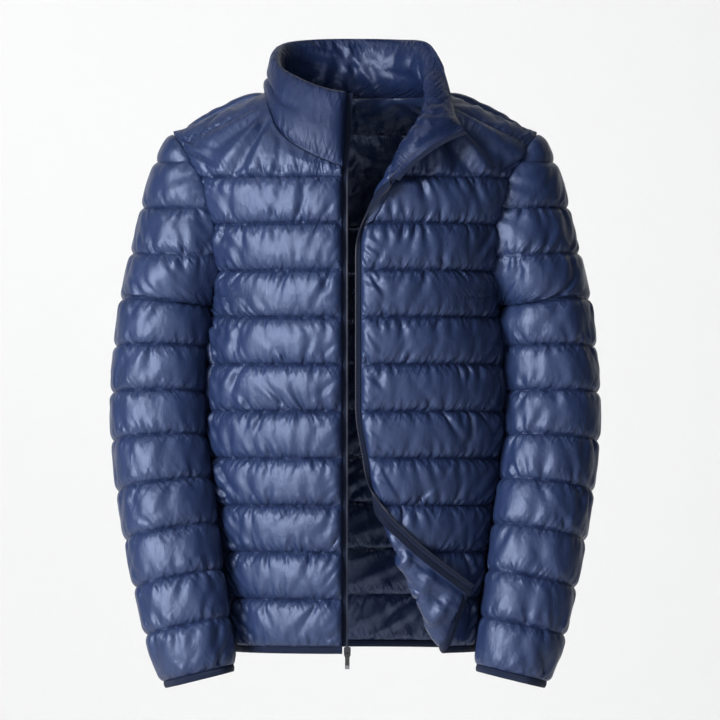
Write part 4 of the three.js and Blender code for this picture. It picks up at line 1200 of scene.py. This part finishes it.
def zip_line(side, collar):
    """The zip's path from the collar's top to the hem: edge points, the way off the edge, the way out."""
    at = 0 if side < 0 else -1
    base, normals = collar["base"][::-1, at], collar["normals"][::-1, at]
    up = -np.gradient(base, axis=0)
    off = unit(np.cross(normals, up)) * -side
    foot = HEM_Z if side < 0 else HEM_Z - ZIP_FOOT_DROP
    levels = np.linspace(NECK_FRONT_Z, foot, ZIP_STEPS)
    edge = LEFT_EDGE_X if side > 0 else RIGHT_EDGE_X

    def surface(angle, z):
        return left_surface(angle, z) if side > 0 else torso(angle, z)

    start = angle_of_x(np.full_like(levels, edge), levels)
    beyond = angle_of_x(np.full_like(levels, edge - 6.0), levels)
    points = surface(start, levels)
    out = normal_of(surface, start, levels)
    away = unit(surface(beyond, levels) - points)
    if side < 0:
        points, out, away = (v * [-1, 1, 1] for v in (points, out, away))
    path = np.concatenate([base[:-1], points])
    across = np.concatenate([off[:-1], away])
    outward = np.concatenate([normals[:-1], out])
    to_seam = np.linalg.norm(path - base[-1], axis=1)
    keep = to_seam > ZIP_JOIN_GAP
    return path[keep], across[keep], outward[keep]


def ribbon(name, path, across, outward, section, replaced, material, held, slot="trim"):
    """A strip swept along a path. The section gives (way off the edge, low face, high face) in mm."""
    section = np.array(section, float)
    offs = path[:, None] + across[:, None] * section[:, 0][None, :, None]
    low = offs + outward[:, None] * section[:, 1][None, :, None]
    high = offs + outward[:, None] * section[:, 2][None, :, None]
    points, faces = closed_wall(low, high)
    uv = np.stack([run_lengths(low, 0), run_lengths(low, 1)], -1).reshape(-1, 2)
    piece = mesh_piece(name, points, faces, "jacket", material, np.tile(uv, (2, 1)))
    if replaced:
        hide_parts(replaced)
    return piece


def coil(name, path, across, outward, material, pitch=1.9):
    """The zip's teeth: one small chamfered block for each turn of the coil, along the tape's edge."""
    length = np.sum(np.linalg.norm(np.diff(path, axis=0), axis=1))
    count = int(length / pitch)
    (path, across, outward), _ = resample([path, across, outward], count)
    along = unit(np.gradient(path, axis=0))
    u = np.array([5.0, 6.4, 7.6])
    half = np.array([0.42, 0.62, 0.5])
    thick = np.array([[0.7, 2.3], [0.3, 2.8], [0.9, 2.2]])
    parts = []
    for k in range(3):
        for way in (-1, 1):
            for level in (0, 1):
                parts.append(path + across * u[k] + along * half[k] * way + outward * thick[k, level])
    points = np.stack(parts, 1).reshape(-1, 3)
    block = [
        [0, 1, 5, 4],
        [4, 5, 9, 8],
        [2, 6, 7, 3],
        [6, 10, 11, 7],
        [0, 4, 6, 2],
        [4, 8, 10, 6],
        [1, 3, 7, 5],
        [5, 7, 11, 9],
        [0, 2, 3, 1],
        [8, 9, 11, 10],
    ]
    faces = (np.array(block)[None] + 12 * np.arange(count)[:, None, None]).reshape(-1, 4)
    corner = points[faces]
    centre = points.reshape(count, 12, 3).mean(1)
    face_way = np.cross(corner[:, 1] - corner[:, 0], corner[:, 2] - corner[:, 0])
    outwards = np.sum(face_way * (corner.mean(1) - np.repeat(centre, len(block), 0)), -1) < 0
    faces[outwards] = faces[outwards][:, ::-1]
    piece = mesh_piece(name, points, faces, "jacket", material)
    piece.data.shade_flat()
    return piece


def binding(name, surface, places, top, flip, seed, material):
    """Elastic binding folded round an edge: a strip 9 mm high, drawn in so that it ripples a little."""
    z = np.linspace(top + BINDING_ABOVE, top - BINDING_BELOW, 10)[:, None]
    angle = np.broadcast_to(places, (10, len(places)))
    z = np.broadcast_to(z, angle.shape)
    base = surface(angle, z)
    step = 0.01 if np.max(np.abs(places)) <= 1 else 0.003
    normals = normal_of(surface, angle, z, step)
    down = (top + BINDING_ABOVE - z) / (BINDING_ABOVE + BINDING_BELOW)
    ripple = waves(base, 8, 9, 26, seed, (1, 1, 0.2)) * 0.35
    body = np.sqrt(np.maximum(0, 1 - (2 * np.clip(down, 0.02, 0.98) - 1) ** 2))
    inner = base + normals * (BINDING_LIFT - BINDING_BODY * body + ripple)[..., None]
    outer = base + normals * (BINDING_LIFT + BINDING_BODY * body + ripple)[..., None]
    points, faces = closed_wall(inner, outer)
    if flip:
        points, faces = points * [-1, 1, 1], faces[:, ::-1]
    uv = np.stack([run_lengths(base, 1), run_lengths(base, 0)], -1).reshape(-1, 2)
    piece = mesh_piece(name + "_cloth", points, faces, "jacket", material, np.tile(uv, (2, 1)))
    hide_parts(name)
    return piece


# The panels: each last number is the seed of the piece's own folds
left = front_panel(1, 11)
right = mirror(front_panel(-1, 23))
back = back_panel(37)
left_sleeve = sleeve_panel(41)
right_sleeve = mirror(sleeve_panel(59))
collar = collar_grid(left, right, back, 67)
padded_panel("left_front", left, BODY_NYLON)
padded_panel("right_front", right, BODY_NYLON)
padded_panel("back", back, BODY_NYLON)
padded_panel("left_sleeve", left_sleeve, SLEEVE_NYLON)
padded_panel("right_sleeve", right_sleeve, SLEEVE_NYLON)
padded_panel("collar", collar, COLLAR_NYLON)

# Zips and bindings
for side, name in ((1, "left_zip"), (-1, "right_zip")):
    line = zip_line(side, collar)
    even, _ = resample(list(line), ZIP_POINTS)
    even = [smoothed(even[0], 4), unit(smoothed(even[1], 40)), unit(smoothed(even[2], 40))]
    section = WIDE_TAPE if side > 0 else NARROW_TAPE
    ribbon(name + "_tape", *even, section, name, TAPE, "laid")
    coil(name + "_coil", *even, TEETH)

for side, name in ((1, "left_hem_binding"), (-1, "right_hem_binding")):
    edge = LEFT_EDGE_X if side > 0 else RIGHT_EDGE_X
    start = float(angle_of_x(edge, HEM_Z))
    places = np.linspace(start, float(outer_angle(HEM_Z)) - GAP_ANGLE, 150)
    surface = left_surface if side > 0 else torso
    binding(name, surface, places, HEM_Z, side < 0, 71 + side, TRIM)
border = float(outer_angle(HEM_Z)) + GAP_ANGLE
places = np.linspace(border, 2 * math.pi - border, 260)
binding("back_hem_binding", torso, places, HEM_Z, False, 75, TRIM)
for side, name in ((1, "left_cuff_binding"), (-1, "right_cuff_binding")):
    binding(name, sleeve_surface, np.linspace(-1, 1, 150), CUFF_Z, side < 0, 81 + side, TRIM)

for name, material in (("zip_slider", METAL), ("zip_pull", pull_tab(nodes["zip_pull"]))):
    nodes[name].data.materials.clear()
    nodes[name].data.materials.append(material)


def area_light(name, place, target, size, power):
    """A rectangular light that faces its target."""
    data = bpy.data.lights.new(name, "AREA")
    data.shape = "RECTANGLE"
    data.size, data.size_y = size
    data.energy = power
    lamp = bpy.data.objects.new(name, data)
    bpy.context.scene.collection.objects.link(lamp)
    lamp.location = place
    way = np.array(target) - np.array(place)
    lamp.rotation_euler = Vector(way).to_track_quat("-Z", "Y").to_euler()


def backdrop_paper():
    """Pale paper that is clear from behind, so that the jacket can be looked at from its back."""
    shade = Shade("backdrop paper", 0.9)
    shade.colour((0.9, 0.9, 0.9, 1))
    behind = shade.add("ShaderNodeNewGeometry").outputs["Backfacing"]
    clear = shade.add("ShaderNodeBsdfTransparent").outputs[0]
    either = shade.add("ShaderNodeMixShader", {0: behind, 1: shade.skin.outputs[0], 2: clear})
    shade.put(shade.tree.nodes["Material Output"].inputs[0], either.outputs[0])
    return shade.material


def backdrop():
    """A seamless pale sweep: floor, quarter-round cove and wall, as one profile drawn sideways."""
    turn = np.linspace(0, math.pi / 2, 24)
    cove_y = WALL_Y - COVE_RADIUS + COVE_RADIUS * np.sin(turn)
    cove_z = FLOOR_Z + COVE_RADIUS * (1 - np.cos(turn))
    y = np.concatenate([[FLOOR_FRONT_Y, 0.0], cove_y, [WALL_Y]])
    z = np.concatenate([[FLOOR_Z, FLOOR_Z], cove_z, [WALL_TOP]])
    rows = np.stack([np.zeros_like(y), y, z], -1)
    points = np.concatenate([rows + [-SWEEP_HALF_WIDTH, 0, 0], rows + [SWEEP_HALF_WIDTH, 0, 0]])
    k = np.arange(len(y) - 1)
    faces = np.stack([k, k + len(y), k + len(y) + 1, k + 1], -1)
    mesh = bpy.data.meshes.new("backdrop")
    mesh.from_pydata(points.tolist(), [], faces.tolist())
    mesh.shade_smooth()
    sweep = bpy.data.objects.new("backdrop", mesh)
    bpy.context.scene.collection.objects.link(sweep)
    mesh.materials.append(backdrop_paper())


# The studio: backdrop, lights, a faint even sky and the camera
backdrop()
for light in LIGHTS:
    area_light(*light)
world = bpy.data.worlds.new("studio")
bpy.context.scene.world = world
world.use_nodes = True
world.node_tree.nodes["Background"].inputs[0].default_value = (0.9, 0.95, 1.0, 1)
world.node_tree.nodes["Background"].inputs[1].default_value = 0.05

view = bpy.data.cameras.new("camera")
view.sensor_width = 36
view.lens = view.sensor_width * (DISTANCE - JACKET_FRONT) / FIELD
view.clip_end = 40
camera = bpy.data.objects.new("camera", view)
bpy.context.scene.collection.objects.link(camera)
camera.location = (CAMERA_X, -DISTANCE, CAMERA_Z)
camera.rotation_euler = (math.pi / 2, 0, 0)
bpy.context.scene.camera = camera
bpy.context.scene.view_settings.view_transform = "Standard"
